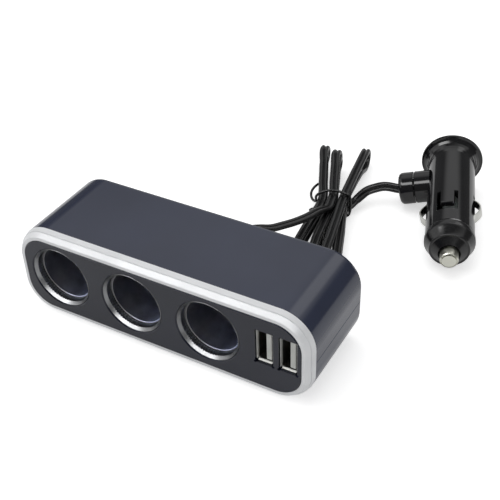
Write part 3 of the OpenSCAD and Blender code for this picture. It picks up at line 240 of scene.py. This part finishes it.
SOCKET_X = {"left": -41.0, "middle": -9.9, "right": 21.2}
# Painted light: each bore's ramp paints shade at its left and a bluish glow of light towards its right
BORE_PAINTED_SHADE, BORE_PAINTED_GLOW, BORE_SPAN = (0.55, 0.53, 0.5), (1.25, 1.35, 1.65), (-7.0, 9.0)
# Painted shade: each port's ramp darkens its steel shell deeper in behind the rim
PORT_BRIGHT, PORT_PAINTED_SHADE, PORT_SPAN = (1, 1, 1), (0.16, 0.16, 0.16), (0.9, 1.9)
node_slots = {row["node"]: row["material_slot"] for row in frame["record"]["subparts"]}


def finish_of(node_name):
    """A CAD node's finish is its slot's. A socket tube gets painted shade at the left of its bore and a painted bluish
    glow of light towards its right, and a port's shell gets painted shade behind its rim."""
    side_name = node_name.split("_")[-1]
    if node_name.startswith("socket_tube_"):
        # painted shade at the bore's left and a painted bluish glow of light towards its right
        steel = drawn_metal("tube_steel_painted_light_" + side_name, (0.5, 0.51, 0.56), 0.42)
        first, last = (SOCKET_X[side_name] + offset for offset in BORE_SPAN)
        return graded(steel, "X", first, last, [BORE_PAINTED_SHADE, BORE_PAINTED_GLOW])
    if node_name.startswith("usb_shell_"):
        # painted shade in the port's steel shell, deeper in behind its rim
        steel = drawn_metal("port_steel_painted_shade_" + side_name, (0.5, 0.5, 0.48), 0.46, along="z")
        first, last = (depth - PLATE_DEPTH for depth in PORT_SPAN)
        return graded(steel, "Y", first, last, [PORT_BRIGHT, PORT_PAINTED_SHADE])
    return FINISHES[node_slots[node_name]]


for node_name, node in frame["nodes"].items():
    node.data.materials.clear()
    node.data.materials.append(finish_of(node_name))


# Meshes
def sheet_of(name, points, slot, around=False, body=BODY, caps=False):
    """A piece from a grid of points, rows by columns, in millimetres. around joins the last column to the first,
    and caps closes both ends with a fan round the middle of the end row."""
    rows, columns = points.shape[:2]
    verts = points.reshape(-1, 3) * MM
    wide = columns if around else columns - 1
    i, k = np.meshgrid(np.arange(rows - 1), np.arange(wide), indexing="ij")
    k2 = (k + 1) % columns
    quads = np.stack([i * columns + k, i * columns + k2, (i + 1) * columns + k2, (i + 1) * columns + k], -1)
    faces = quads.reshape(-1, 4).tolist()
    if caps:
        first, last = len(verts), len(verts) + 1
        verts = np.concatenate([verts, points[[0, -1]].mean(axis=1) * MM])
        end = (rows - 1) * columns
        ring = np.arange(columns)
        after = (ring + 1) % columns
        faces += np.stack([after, ring, np.full(columns, first)], -1).tolist()
        faces += np.stack([end + ring, end + after, np.full(columns, last)], -1).tolist()
    mesh = bpy.data.meshes.new(name)
    mesh.from_pydata(verts.tolist(), [], faces)
    mesh.shade_smooth()
    mesh.update()
    piece = bpy.data.objects.new(name, mesh)
    scene.collection.objects.link(piece)
    piece.data.materials.append(FINISHES[slot])
    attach(piece, body)
    return piece


def unit(v):
    """A vector, or each row of several, at length 1."""
    return v / np.linalg.norm(v, axis=-1, keepdims=True)


def headings(path):
    """Direction of travel at each point: from the point before to the point after."""
    ahead = np.concatenate([path[1:], path[-1:]])
    behind = np.concatenate([path[:1], path[:-1]])
    return unit(ahead - behind)


def smooth_path(knots, spacing):
    """A cubic through the knots: at each knot the slope is that of the parabola through it and its neighbours,
    by chord length, and each stretch gets steps of about the spacing, and three at least."""
    chord = np.linalg.norm(np.diff(knots, axis=0), axis=1)
    slope = np.diff(knots, axis=0) / chord[:, None]
    tangent = np.concatenate([slope[:1], (slope[1:] * chord[:-1, None] + slope[:-1] * chord[1:, None])
                              / (chord[:-1] + chord[1:])[:, None], slope[-1:]])
    out = []
    for j, length in enumerate(chord):
        t = np.linspace(0, 1, max(4, int(round(length / spacing)) + 1))[:-1, None]
        out.append((2 * t ** 3 - 3 * t ** 2 + 1) * knots[j] + (t ** 3 - 2 * t ** 2 + t) * length * tangent[j]
                   + (3 * t ** 2 - 2 * t ** 3) * knots[j + 1] + (t ** 3 - t ** 2) * length * tangent[j + 1])
    return np.concatenate(out + [knots[-1:]])


def carried(path, sides, profile):
    """A profile carried along a path: p + x * side + y * up, with side turned square to the heading."""
    ahead = headings(path)
    side = unit(sides - (sides * ahead).sum(1, keepdims=True) * ahead)
    up = np.cross(side, ahead)
    return path[:, None] + profile[None, :, :1] * side[:, None] + profile[None, :, 1:] * up[:, None]


# Cord: the route of the CAD's cord nodes, but up to 0.4 mm lower near the hub. Each strand has its column and row at
# the tie, then at the far end, then at the near end. The shares say how far out each pair of folds has its tip, and
# where a run has its two points. HANK_IN and HANK_OUT are along, column and row, and HANK_REST is along.
CORD_WIDTH, CORD_THICKNESS = 4.0, 2.0
TIE_THICKNESS, STRAND_GAP, TIE_GAP = 1.1, 0.55, 0.15
HANK_FAR, HANK_NEAR = 44.0, 47.0
HANK_PLACE, HANK_YAW = np.array([18.7, 84.6, 0.0]), 12.7
COLUMN, ROW = CORD_WIDTH + STRAND_GAP, CORD_THICKNESS + STRAND_GAP
WAIST_HEIGHT = TIE_THICKNESS + TIE_GAP + CORD_THICKNESS / 2
CORD_CLEAR, CORD_WEB, CORD_STEP, LEAD_STEPS = 0.05, 0.3, 1.0, 2
FLOOR_HEIGHT = CORD_THICKNESS / 2 + CORD_CLEAR
STRANDS = [
    [0, 3, -1.2, 4.2, 0, 0], [0, 0, -1.2, 0, -0.25, 0], [-1, 2, -2.75, 2.8, -1.9, 2.2],
    [-1, 0, -2.75, 0, -1.9, 0], [0, 2, -1.05, 3.1, -0.25, 2.2], [0, 1, -1.05, 1.1, 1.18, 0.45],
    [1, 3, 1.3, 2.8, 1.18, 3.3], [1, 2, 1.3, 0, 2.27, 2.2], [1, 0, 1.1, 0, 2.27, 0],
]
FAR_SHARE, NEAR_SHARE, RUN_SHARE = [0.81, 0.965, 0.745, 1], [1, 0.82, 0.96, 1], [0.35, 0.7]
HANK_IN, HANK_REST, HANK_OUT = [-5, 0, 3], 1.4, [4.6, 1.5, 0.5]
RELIEF_END = np.array([5.65, 34.5, 18.2])
BOX_ROUTE = [[8.3, 40.9, 18], [11, 43.4, 17.3], [13.9, 48.6, 16.3], [16.4, 54.8, 15], [18.4, 61.2, 13.9],
             [19.5, 67, 12.9], [20.2, 72, 11.3]]
PLUG_ROUTE = [[27.7, 98.9, 6.3], [30.5, 101.7, 7.15], [33.2, 103.9, 7.55], [35.9, 105.1, 7.45], [38.3, 105.7, 7.2]]
PLUG_PLACE, PLUG_YAW, PLUG_ROLL = (54.6, 129.1), 19.0, 13.0
FLANGE_R, NOSE_R, RIM_T, BARREL_L, NOSE_FLAT = 12.9, 9.95, 1.2, 53.9, 2.8
HUB_OUT, HUB_AT = 21.6, 17.4
UP, LEAD_FACE, TURN_KNOTS = [0.0, 0.0, 1.0], [0.4, -0.68, 0.61], 3


def turn(axis, degrees):
    """Matrix of a turn about z or x."""
    c, s = math.cos(math.radians(degrees)), math.sin(math.radians(degrees))
    return np.array([[c, -s, 0], [s, c, 0], [0, 0, 1]] if axis == "z" else [[1, 0, 0], [0, c, -s], [0, s, c]])


PLUG_PITCH = math.degrees(math.atan((FLANGE_R - NOSE_R) / (BARREL_L + NOSE_FLAT - RIM_T)))
PLUG_TURN = turn("z", PLUG_YAW) @ turn("x", 90 + PLUG_PITCH) @ turn("z", PLUG_ROLL)
PLUG_HEIGHT = FLANGE_R * math.cos(math.radians(PLUG_PITCH)) + RIM_T * math.sin(math.radians(PLUG_PITCH))


def on_plug(points):
    """Points of the plug, right, up and along to the tip, in the frame."""
    return np.asarray(points, float) @ PLUG_TURN.T + np.array([*PLUG_PLACE, PLUG_HEIGHT])


def on_hank(points):
    """Points of the hank, along, across and height, in the frame."""
    p = np.asarray(points, float)
    flat = np.stack([p[:, 1], p[:, 0], np.zeros(len(p))], 1) @ turn("z", HANK_YAW).T
    flat[:, 2] = p[:, 2]
    return flat + HANK_PLACE


def waist_point(j):
    """Where a strand passes the tie."""
    return [0, STRANDS[j][0] * COLUMN, WAIST_HEIGHT + STRANDS[j][1] * ROW]


def rest_point():
    """Where the last strand leaves the tie."""
    return [HANK_REST, *waist_point(-1)[1:]]


def fold(j, k, other, end):
    """Half a strand from the tie out: two points on the run, then three round the first quarter of the fold, and
    the fold's tip. end is 1 at the far end and -1 at the near end."""
    far = end > 0
    reach = (HANK_FAR * FAR_SHARE[k]) if far else (HANK_NEAR * NEAR_SHARE[k])
    across = [STRANDS[s][2 if far else 4] * COLUMN for s in (j, other)]
    level = [FLOOR_HEIGHT + STRANDS[s][3 if far else 5] * ROW for s in (j, other)]
    radius, middle = abs(level[0] - level[1]) / 2, (level[0] + level[1]) / 2
    way = math.copysign(1, level[0] - middle)
    run, mean = reach - radius, (across[0] + across[1]) / 2
    start = waist_point(j)
    points = [[end * f * run, start[1] + (across[0] - start[1]) * f, start[2] + (level[0] - start[2]) * f * f]
              for f in RUN_SHARE]
    for degrees in (90, 60, 30):
        s, c = math.sin(math.radians(degrees)), math.cos(math.radians(degrees))
        points.append([end * (run + radius * c), mean + (across[0] - mean) * s, middle + way * radius * s])
    return points, [end * reach, mean, middle]


def hank_knots():
    """The hank's points: nine strands that pass the tie, joined by four far and four near folds."""
    points = [[HANK_IN[0], HANK_IN[1] * COLUMN, WAIST_HEIGHT + HANK_IN[2] * ROW], waist_point(0)]
    for k in range(4):
        a, b, c = 2 * k, 2 * k + 1, 2 * k + 2
        out, tip = fold(a, k, b, 1)
        back, _ = fold(b, k, a, 1)
        points += out + [tip] + back[::-1] + [waist_point(b)]
        out, tip = fold(b, k, c, -1)
        back, _ = fold(c, k, b, -1)
        points += out + [tip] + back[::-1] + [waist_point(c)]
    points += [rest_point(), [HANK_OUT[0], HANK_OUT[1] * COLUMN, WAIST_HEIGHT + HANK_OUT[2] * ROW]]
    return on_hank(points)


def catmull(knots, steps):
    """Catmull and Rom's cubic through the knots, as in the CAD's plug lead, with so many steps between them."""
    n, out = len(knots), []
    for j in range(n - 1):
        a, b, c, d = (knots[min(max(j + q, 0), n - 1)] for q in (-1, 0, 1, 2))
        for k in range(steps):
            t = k / steps
            out.append(0.5 * (2 * b + (c - a) * t + (2 * a - 5 * b + 4 * c - d) * t * t
                              + (3 * b - a - 3 * c + d) * t ** 3))
    return np.array(out + [knots[-1]])


def cord_knots():
    """The whole cord from the strain relief to the hub, with the side direction at each knot: level in the first
    lead, across the hank, and in the plug's lead turned over a few knots until its flat side faces LEAD_FACE."""
    hank = hank_knots()
    before = on_hank([[HANK_IN[0] - CORD_WIDTH, HANK_IN[1] * COLUMN, WAIST_HEIGHT + HANK_IN[2] * ROW]])
    box = np.concatenate([[RELIEF_END, RELIEF_END + [0, CORD_WIDTH, 0]], BOX_ROUTE, before])
    last = hank[-1]
    bearing = unit(last - on_hank([rest_point()])[0])
    hub_end = on_plug([[-HUB_OUT, 0, HUB_AT]])[0]
    start = [last + CORD_WIDTH / 2 * bearing, last + CORD_WIDTH * bearing]
    plug = catmull(np.array([*start, *PLUG_ROUTE, hub_end]), LEAD_STEPS)
    knots = np.concatenate([box, hank, plug])
    ahead = headings(knots)
    across = np.tile(turn("z", HANK_YAW) @ [1.0, 0, 0], (len(hank), 1))
    box_sides = unit(np.cross(ahead[:len(box)], UP))
    level, faced = (unit(np.cross(ahead[-len(plug):], face)) for face in (UP, LEAD_FACE))
    share = np.clip(np.arange(len(plug)) - 1, 0, TURN_KNOTS)[:, None] / TURN_KNOTS
    plug_sides = unit((1 - share) * level + share * faced)
    return knots, np.concatenate([box_sides, across, plug_sides])


def twin_profile(count=20):
    """Two round cores side by side, each an arc about (+-r, 0) that stops at the web between them: its end angle
    is 180 degrees less asin(web / r)."""
    radius = CORD_THICKNESS / 2
    reach = math.pi - math.asin(CORD_WEB / radius)
    arc = np.linspace(-reach, reach, count)
    right = np.stack([radius + radius * np.cos(arc), radius * np.sin(arc)], 1)
    return np.concatenate([right, -right])


def round_profile(radius, count=12):
    """A circle, for round wire."""
    angle = np.arange(count) * 2 * math.pi / count
    return np.stack([np.cos(angle), np.sin(angle)], 1) * radius


knots, knot_sides = cord_knots()
cord_path = smooth_path(knots, CORD_STEP)
cord_path[:, 2] = np.maximum(cord_path[:, 2], FLOOR_HEIGHT)
along = np.concatenate([[0], np.cumsum(np.linalg.norm(np.diff(cord_path, axis=0), axis=1))])
nearest = np.linalg.norm(cord_path[:, None] - knots[None], axis=2)
knot_rows = [int(np.argmin(nearest[:, j])) for j in range(len(knots))]
order = np.argsort(knot_rows)
knot_along = along[np.array(knot_rows)[order]]
cord_sides = np.stack([np.interp(along, knot_along, knot_sides[order, axis]) for axis in range(3)], 1)
cord_rings = carried(cord_path, cord_sides, twin_profile())
cord_rings[:, :, 2] += np.maximum(0, CORD_CLEAR - cord_rings[:, :, 2].min(axis=1))[:, None]
cord = sheet_of("flat_twin_cord", cord_rings, "cord_jacket", around=True, caps=True)

# Wire tie: one turn round the strands and a loop of its tail
SEAT_GAP = 0.05
TIE_IN = CORD_WIDTH / 2 + COLUMN + TIE_GAP + SEAT_GAP + TIE_THICKNESS / 2
TIE_TOP = WAIST_HEIGHT + HANK_IN[2] * ROW + CORD_THICKNESS / 2 + TIE_GAP + TIE_THICKNESS / 2
TIE_LOW = TIE_THICKNESS / 2 + TIE_GAP / 3
TIE_CORNER, TIE_STEP = 2.0, 0.5
TIE_SHOULDER = WAIST_HEIGHT + STRANDS[2][1] * ROW + CORD_THICKNESS / 2 - TIE_GAP / 2
TIE_START = [[-5.6, -1.2, 5], [-3.6, -0.9, 4.2]]
TIE_TAIL = [[2.5, -2.15, 5], [6.6, -3.7, 5], [11.5, -3.5, 5], [15.3, -2, 4.9], [17.2, -0.5, 4.8]]


def tie_knots():
    """The tie's middle line: round three corners of the strands, each a quarter turn in three steps, down over
    the left ones, and its two ends."""
    def corner(u, z, a1, a2, t1, t2):
        """A quarter turn about (u, z) from angle a1 to a2, that goes from t1 to t2 along the strands."""
        f = np.arange(4) / 3
        a = np.radians(a1 + (a2 - a1) * f)
        return np.stack([t1 + (t2 - t1) * f, u + TIE_CORNER * np.cos(a), z + TIE_CORNER * np.sin(a)], 1)
    left, right = -TIE_IN + TIE_CORNER, TIE_IN - TIE_CORNER
    low, high = TIE_LOW + TIE_CORNER, TIE_TOP - TIE_CORNER
    return np.concatenate([
        np.array(TIE_START) - [0, TIE_IN, 0],
        corner(left, low, 190, 270, -1, -0.6), corner(right, low, 270, 360, -0.3, -0.1),
        corner(right, high, 0, 90, 0.1, 0.4),
        [[0.9, -CORD_WIDTH / 2 - 2 * TIE_GAP, TIE_TOP], [0, -TIE_IN, TIE_SHOULDER],
         [-0.1, -TIE_IN, TIE_SHOULDER - CORD_THICKNESS]],
        np.array(TIE_TAIL) - [0, TIE_IN, 0],
    ])


tie_path = smooth_path(on_hank(tie_knots()), TIE_STEP)
tie_path[:, 2] = np.maximum(tie_path[:, 2], TIE_LOW)
tie_sides = np.tile(turn("z", HANK_YAW) @ [0, 1.0, 0], (len(tie_path), 1))
tie_rings = carried(tie_path, tie_sides, round_profile(TIE_THICKNESS / 2))
tie = sheet_of("wire_tie", tie_rings, "tie_plastic", around=True, caps=True)
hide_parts("hank_tie")

# Fuse spring: the CAD's wire with more steps and sides
SPRING_R, SPRING_WIRE_R, SPRING_TURNS, SPRING_L, SPRING_AT, TIP_TRAVEL = 2.4, 0.4, 5, 7.5, 20.67, 3.0
STEPS_PER_TURN = 24
coil_turn = np.linspace(0, 2 * math.pi * SPRING_TURNS, STEPS_PER_TURN * SPRING_TURNS + 1)
coil_out = np.stack([np.cos(coil_turn), np.sin(coil_turn), np.zeros_like(coil_turn)], 1)
coil = SPRING_R * coil_out
coil[:, 2] = SPRING_AT + SPRING_WIRE_R + (SPRING_L - 2 * SPRING_WIRE_R) * np.linspace(0, 1, len(coil_turn))
spring_rings = carried(on_plug(coil), coil_out @ PLUG_TURN.T, round_profile(SPRING_WIRE_R))
spring = sheet_of("fuse_spring_wire", spring_rings, "spring_steel", around=True, caps=True)
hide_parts("fuse_spring")
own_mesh(spring)

# Nose cap: the CAD's section with rounded edges, a fine step at the end of its wall and a bead round its face
TIP_R, CAP_GAP, SPIGOT_R, SPIGOT_L, CAP_ROOM_R, CAP_SEAT = 3.6, 0.05, 8.45, 3.0, 6.0, 61.85
NOSE_L, FACE_END, CAP_EDGE_R, BACK_EDGE_R, WALL_EDGE_R, BEAD_R = 7.4, 63.5, 7.552, 0.6, 0.12, 0.42
MOUTH_WIDER, MOUTH_DEEP, SHARP_DEGREES = 0.8, 0.9, 24


def arc_of(centre, radius, first, last, count=7):
    """Points (radius from the axis, distance along it) of an arc, from one angle to another in degrees."""
    a = np.radians(np.linspace(first, last, count))
    return np.stack([centre[0] + radius * np.cos(a), centre[1] + radius * np.sin(a)], 1)


def turned(name, profile, slot, body, count=144, caps=False):
    """A solid of revolution about the plug's axis: each point (r, s) of the profile goes round at distance s. Edges
    over SHARP_DEGREES stay sharp."""
    theta = -np.arange(count) * 2 * math.pi / count
    rings = [on_plug(np.stack([r * np.cos(theta), r * np.sin(theta), np.full(count, at)], 1)) for r, at in profile]
    piece = sheet_of(name, np.array(rings), slot, around=True, body=body, caps=caps)
    piece.data.set_sharp_from_angle(angle=math.radians(SHARP_DEGREES))
    return piece


def cap_profile():
    """The cap's closed section: rounded back edge, wall, step, taper r = NOSE_R * share, bead, face, mouth, room."""
    back, wall_end, taper = BARREL_L + CAP_GAP, BARREL_L + NOSE_FLAT, NOSE_L - NOSE_FLAT
    edge, room_end = BARREL_L + NOSE_L, BARREL_L + SPIGOT_L + CAP_GAP
    shares = [[0.977, 0.06], [0.963, 0.13], [0.94, 0.22], [0.914, 0.33], [0.885, 0.45], [0.855, 0.59], [0.82, 0.74]]
    return np.concatenate([
        [[SPIGOT_R + CAP_GAP, back]], arc_of((NOSE_R - BACK_EDGE_R, back + BACK_EDGE_R), BACK_EDGE_R, -90, 0),
        arc_of((NOSE_R - WALL_EDGE_R, wall_end - WALL_EDGE_R), WALL_EDGE_R, 0, 90, 4),
        [[NOSE_R * 0.983, wall_end + 0.02]],
        [[NOSE_R * r, wall_end + taper * at] for r, at in shares],
        arc_of((CAP_EDGE_R + 0.02, edge - BEAD_R), BEAD_R, -20, 100, 9), [[CAP_EDGE_R - 0.45, edge - 0.02]],
        [[TIP_R + MOUTH_WIDER, FACE_END], [TIP_R + CAP_GAP, FACE_END - MOUTH_DEEP], [TIP_R + CAP_GAP, CAP_SEAT],
         [CAP_ROOM_R, CAP_SEAT], [CAP_ROOM_R, room_end], [SPIGOT_R + CAP_GAP, room_end],
         [SPIGOT_R + CAP_GAP, back]],
    ])


cap = turned("nose_cap_shell", cap_profile(), "nose_plastic", "nose")
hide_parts("nose_cap")

# Tip: the CAD's section, with a chamfered rim, a fine groove and a slightly domed button, whose points are how far
# in from the rim and how far short of the end
CUP_R, TIP_BACK, SHOULDER_R, SHOULDER_AT, SHOULDER_END, TIP_END = 3.9, 58.2, 5.0, 60.4, 61.8, 67.9
AXIS_R, RIM_AND_BUTTON = 0.05, [
    [0.0, 0.85], [0.04, 0.8], [0.27, 0.3], [0.37, 0.28], [0.42, 0.9], [0.74, 0.9], [0.78, 0.1], [1.4, 0.07],
    [2.5, 0.02],
]
tip_profile = [[AXIS_R, TIP_BACK], [CUP_R, TIP_BACK], [CUP_R, SHOULDER_AT], [SHOULDER_R, SHOULDER_AT],
               [SHOULDER_R, SHOULDER_END], [TIP_R, SHOULDER_END],
               *([TIP_R - inward, TIP_END - short] for inward, short in RIM_AND_BUTTON), [AXIS_R, TIP_END]]
tip = turned("plug_tip_turned", tip_profile, "tip_nickel", "tip", caps=True)
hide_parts("plug_tip")

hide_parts("cord_box_lead", "cord_hank", "cord_plug_lead")

# Mouth rings' knurling
SOCKET_H, RING_INNER = 19.0, 11.4
TEETH, RIDGE, RIDGE_ROOM, STEPS_PER_TOOTH = 72, 0.22, 0.02, 6
BAND_DEPTHS, BAND_FADE = [1.4, 1.5, 1.75, 3.35, 3.7, 3.88], [0.0, 0.7, 1.0, 1.0, 0.7, 0.0]


def knurled_band(name, centre_x):
    """Fine ridges inside a mouth ring: r = inner + room - ridge * fade * bump, where bump goes from 0 to 1 and back
    once a tooth and fade is 0 at both edges of the band."""
    angle = np.linspace(0, 2 * math.pi, TEETH * STEPS_PER_TOOTH, endpoint=False)
    depth, fade = np.array(BAND_DEPTHS), np.array(BAND_FADE)
    bump = 0.5 - 0.5 * np.cos(TEETH * angle)
    radius = RING_INNER + RIDGE_ROOM - RIDGE * fade[:, None] * bump[None]
    x = centre_x + radius * np.cos(angle)
    z = SOCKET_H + radius * np.sin(angle)
    y = np.broadcast_to((depth - PLATE_DEPTH)[:, None], x.shape)
    return sheet_of(name, np.stack([x, y, z], -1), "mouth_chrome", around=True)


for side_name, centre_x in SOCKET_X.items():
    knurled_band("mouth_ring_knurling_" + side_name, centre_x)


# Floor, lamps and surround. A lamp has its name, place, size and power. A card of light has its direction, the cosine
# inside which it is full, the cosine outside which it is gone, and its glow. The window has its slope, half width,
# reach and glow.
FLOOR_HALF, FLOOR_DROP, FLOOR_COLOUR = 4.0, 0.0002, (0.84, 0.84, 0.84, 1)
CAMERA_LIFT, GLOSS_LIFT = 0.56, 0.2
LAMP_AIM = (0.0, 0.03, 0.02)
LAMPS = [("overhead_lamp", (-0.15, 0.1, 0.8), 0.7, 2.0), ("left_lamp", (-0.75, -0.35, 0.45), 0.4, 0.8)]
FILL_GLOW, HORIZON_GLOW, ROOF_GLOW, ROOF_AHEAD, ROOF_ABOVE = 0.55, 0.12, 0.66, (0.0, 0.35), (0.44, 0.62)
LEFT_CARD = (-0.82, -0.3, 0.49), 0.93, 0.78, 0.9
BACK_CARD = (0.2025, 0.6845, 0.7), 0.99, 0.965, 0.8
LOW_CARD = (-0.4, 0.87, 0.28), 0.985, 0.94, 0.5
FRONT_WINDOW = -0.6, 0.13, 0.6, 6.5
WINDOW_FADE, WINDOW_SIDE_FADE, WINDOW_ABOVE = (1.7, 0.8), 1.25, (0.3, 0.4)


def maths(tree, operation, *values):
    """One Math node on numbers or sockets."""
    node = tree.nodes.new("ShaderNodeMath")
    node.operation = operation
    for socket, value in zip(node.inputs, values):
        if isinstance(value, (int, float)):
            socket.default_value = value
        else:
            tree.links.new(value, socket)
    return node.outputs["Value"]


def step_up(tree, value, low, high, top=1.0):
    """A smooth step from 0 to top while the value goes from low to high."""
    node = tree.nodes.new("ShaderNodeMapRange")
    node.interpolation_type = "SMOOTHSTEP"
    for key, number in (("From Min", low), ("From Max", high), ("To Min", 0.0), ("To Max", top)):
        node.inputs[key].default_value = number
    tree.links.new(value, node.inputs["Value"])
    return node.outputs["Result"]


def card_of(tree, place, direction, inner, outer, glow):
    """A round card of light in the surround: full where the cosine to its direction is over inner."""
    toward = tree.nodes.new("ShaderNodeVectorMath")
    toward.operation = "DOT_PRODUCT"
    toward.inputs[1].default_value = direction
    tree.links.new(place, toward.inputs[0])
    return step_up(tree, toward.outputs["Value"], outer, inner, glow)


def window_of(tree, parts, slope, half, reach, glow):
    """A band of light from side to side: near the plane y = slope * z, above the horizon, and no farther out than
    reach."""
    plane = maths(tree, "SUBTRACT", parts.outputs["Y"], maths(tree, "MULTIPLY", parts.outputs["Z"], slope))
    outer, inner = WINDOW_FADE
    inside = step_up(tree, maths(tree, "ABSOLUTE", plane), outer * half, inner * half, glow)
    sideways = maths(tree, "ABSOLUTE", parts.outputs["X"])
    sides = step_up(tree, sideways, WINDOW_SIDE_FADE * reach, reach)
    above = step_up(tree, parts.outputs["Z"], *WINDOW_ABOVE)
    return maths(tree, "MULTIPLY", inside, maths(tree, "MULTIPLY", sides, above))


def pale_floor():
    """A pale floor that keeps the object's shadow. It looks lighter to the camera than the lamps make it, and a
    little lighter to gloss: glow = camera ray * CAMERA_LIFT + glossy ray * GLOSS_LIFT."""
    mesh = bpy.data.meshes.new("studio_floor")
    corners = [(x * FLOOR_HALF, y * FLOOR_HALF, -FLOOR_DROP) for x, y in ((-1, -1), (1, -1), (1, 1), (-1, 1))]
    mesh.from_pydata(corners, [], [(0, 1, 2, 3)])
    floor = bpy.data.objects.new("studio_floor", mesh)
    scene.collection.objects.link(floor)
    finish = bpy.data.materials.new("pale_floor")
    tree = empty_tree(finish)
    diffuse, glow, path, total, output = (tree.nodes.new("ShaderNode" + kind) for kind in (
        "BsdfDiffuse", "Emission", "LightPath", "AddShader", "OutputMaterial"))
    diffuse.inputs["Color"].default_value = FLOOR_COLOUR
    gloss = maths(tree, "MULTIPLY", path.outputs["Is Glossy Ray"], GLOSS_LIFT)
    lift = maths(tree, "MULTIPLY_ADD", path.outputs["Is Camera Ray"], CAMERA_LIFT, gloss)
    tree.links.new(lift, glow.inputs["Strength"])
    tree.links.new(diffuse.outputs["BSDF"], total.inputs[0])
    tree.links.new(glow.outputs["Emission"], total.inputs[1])
    tree.links.new(total.outputs["Shader"], output.inputs["Surface"])
    mesh.materials.append(finish)


def lamps():
    """One large soft lamp above and a smaller one at the left, which gloss doesn't see."""
    for name, place, size, power in LAMPS:
        lamp = bpy.data.lights.new(name, "AREA")
        lamp.shape, lamp.size, lamp.energy = "SQUARE", size, power
        holder = bpy.data.objects.new(name, lamp)
        aim = (Vector(LAMP_AIM) - Vector(place)).to_track_quat("-Z", "Y").to_matrix().to_4x4()
        holder.matrix_world = Matrix.Translation(place) @ aim
        holder.visible_glossy = False
        scene.collection.objects.link(holder)


def surround():
    """White to the camera, and an even fill to everything but gloss. Gloss sees a studio: dark towards the horizon,
    with a bright roof at the back, a card at the left, two small cards at the back, and a narrow window in front.
    roof = step of height * step of depth * ROOF_GLOW + HORIZON_GLOW, and the cards and the window add to it."""
    world = bpy.data.worlds.new("studio_surround")
    scene.world = world
    tree = empty_tree(world)
    place = tree.nodes.new("ShaderNodeTexCoord").outputs["Generated"]
    parts = tree.nodes.new("ShaderNodeSeparateXYZ")
    tree.links.new(place, parts.inputs["Vector"])
    ahead = step_up(tree, parts.outputs["Y"], *ROOF_AHEAD, ROOF_GLOW)
    raised = maths(tree, "MULTIPLY", step_up(tree, parts.outputs["Z"], *ROOF_ABOVE), ahead)
    roof = maths(tree, "ADD", raised, HORIZON_GLOW)
    left, back, low = (card_of(tree, place, *card) for card in (LEFT_CARD, BACK_CARD, LOW_CARD))
    front = window_of(tree, parts, *FRONT_WINDOW)
    cards = maths(tree, "ADD", maths(tree, "ADD", left, front), maths(tree, "ADD", back, low))
    mirrored = maths(tree, "ADD", roof, cards)

    path, mixed, output = (tree.nodes.new("ShaderNode" + kind) for kind in ("LightPath", "MixShader", "OutputWorld"))
    shown, fill = (tree.nodes.new("ShaderNodeBackground") for _ in range(2))
    for light in (shown, fill):
        light.inputs["Color"].default_value = (1, 1, 1, 1)
    fill.inputs["Strength"].default_value = FILL_GLOW
    clear = maths(tree, "MAXIMUM", path.outputs["Is Camera Ray"], path.outputs["Is Transmission Ray"])
    glossy = maths(tree, "MULTIPLY", mirrored, path.outputs["Is Glossy Ray"])
    tree.links.new(maths(tree, "MAXIMUM", glossy, clear), shown.inputs["Strength"])
    tree.links.new(maths(tree, "MAXIMUM", clear, path.outputs["Is Glossy Ray"]), mixed.inputs["Fac"])
    tree.links.new(fill.outputs["Background"], mixed.inputs[1])
    tree.links.new(shown.outputs["Background"], mixed.inputs[2])
    tree.links.new(mixed.outputs["Shader"], output.inputs["Surface"])


pale_floor()
lamps()
surround()
scene.view_settings.view_transform = "Standard"
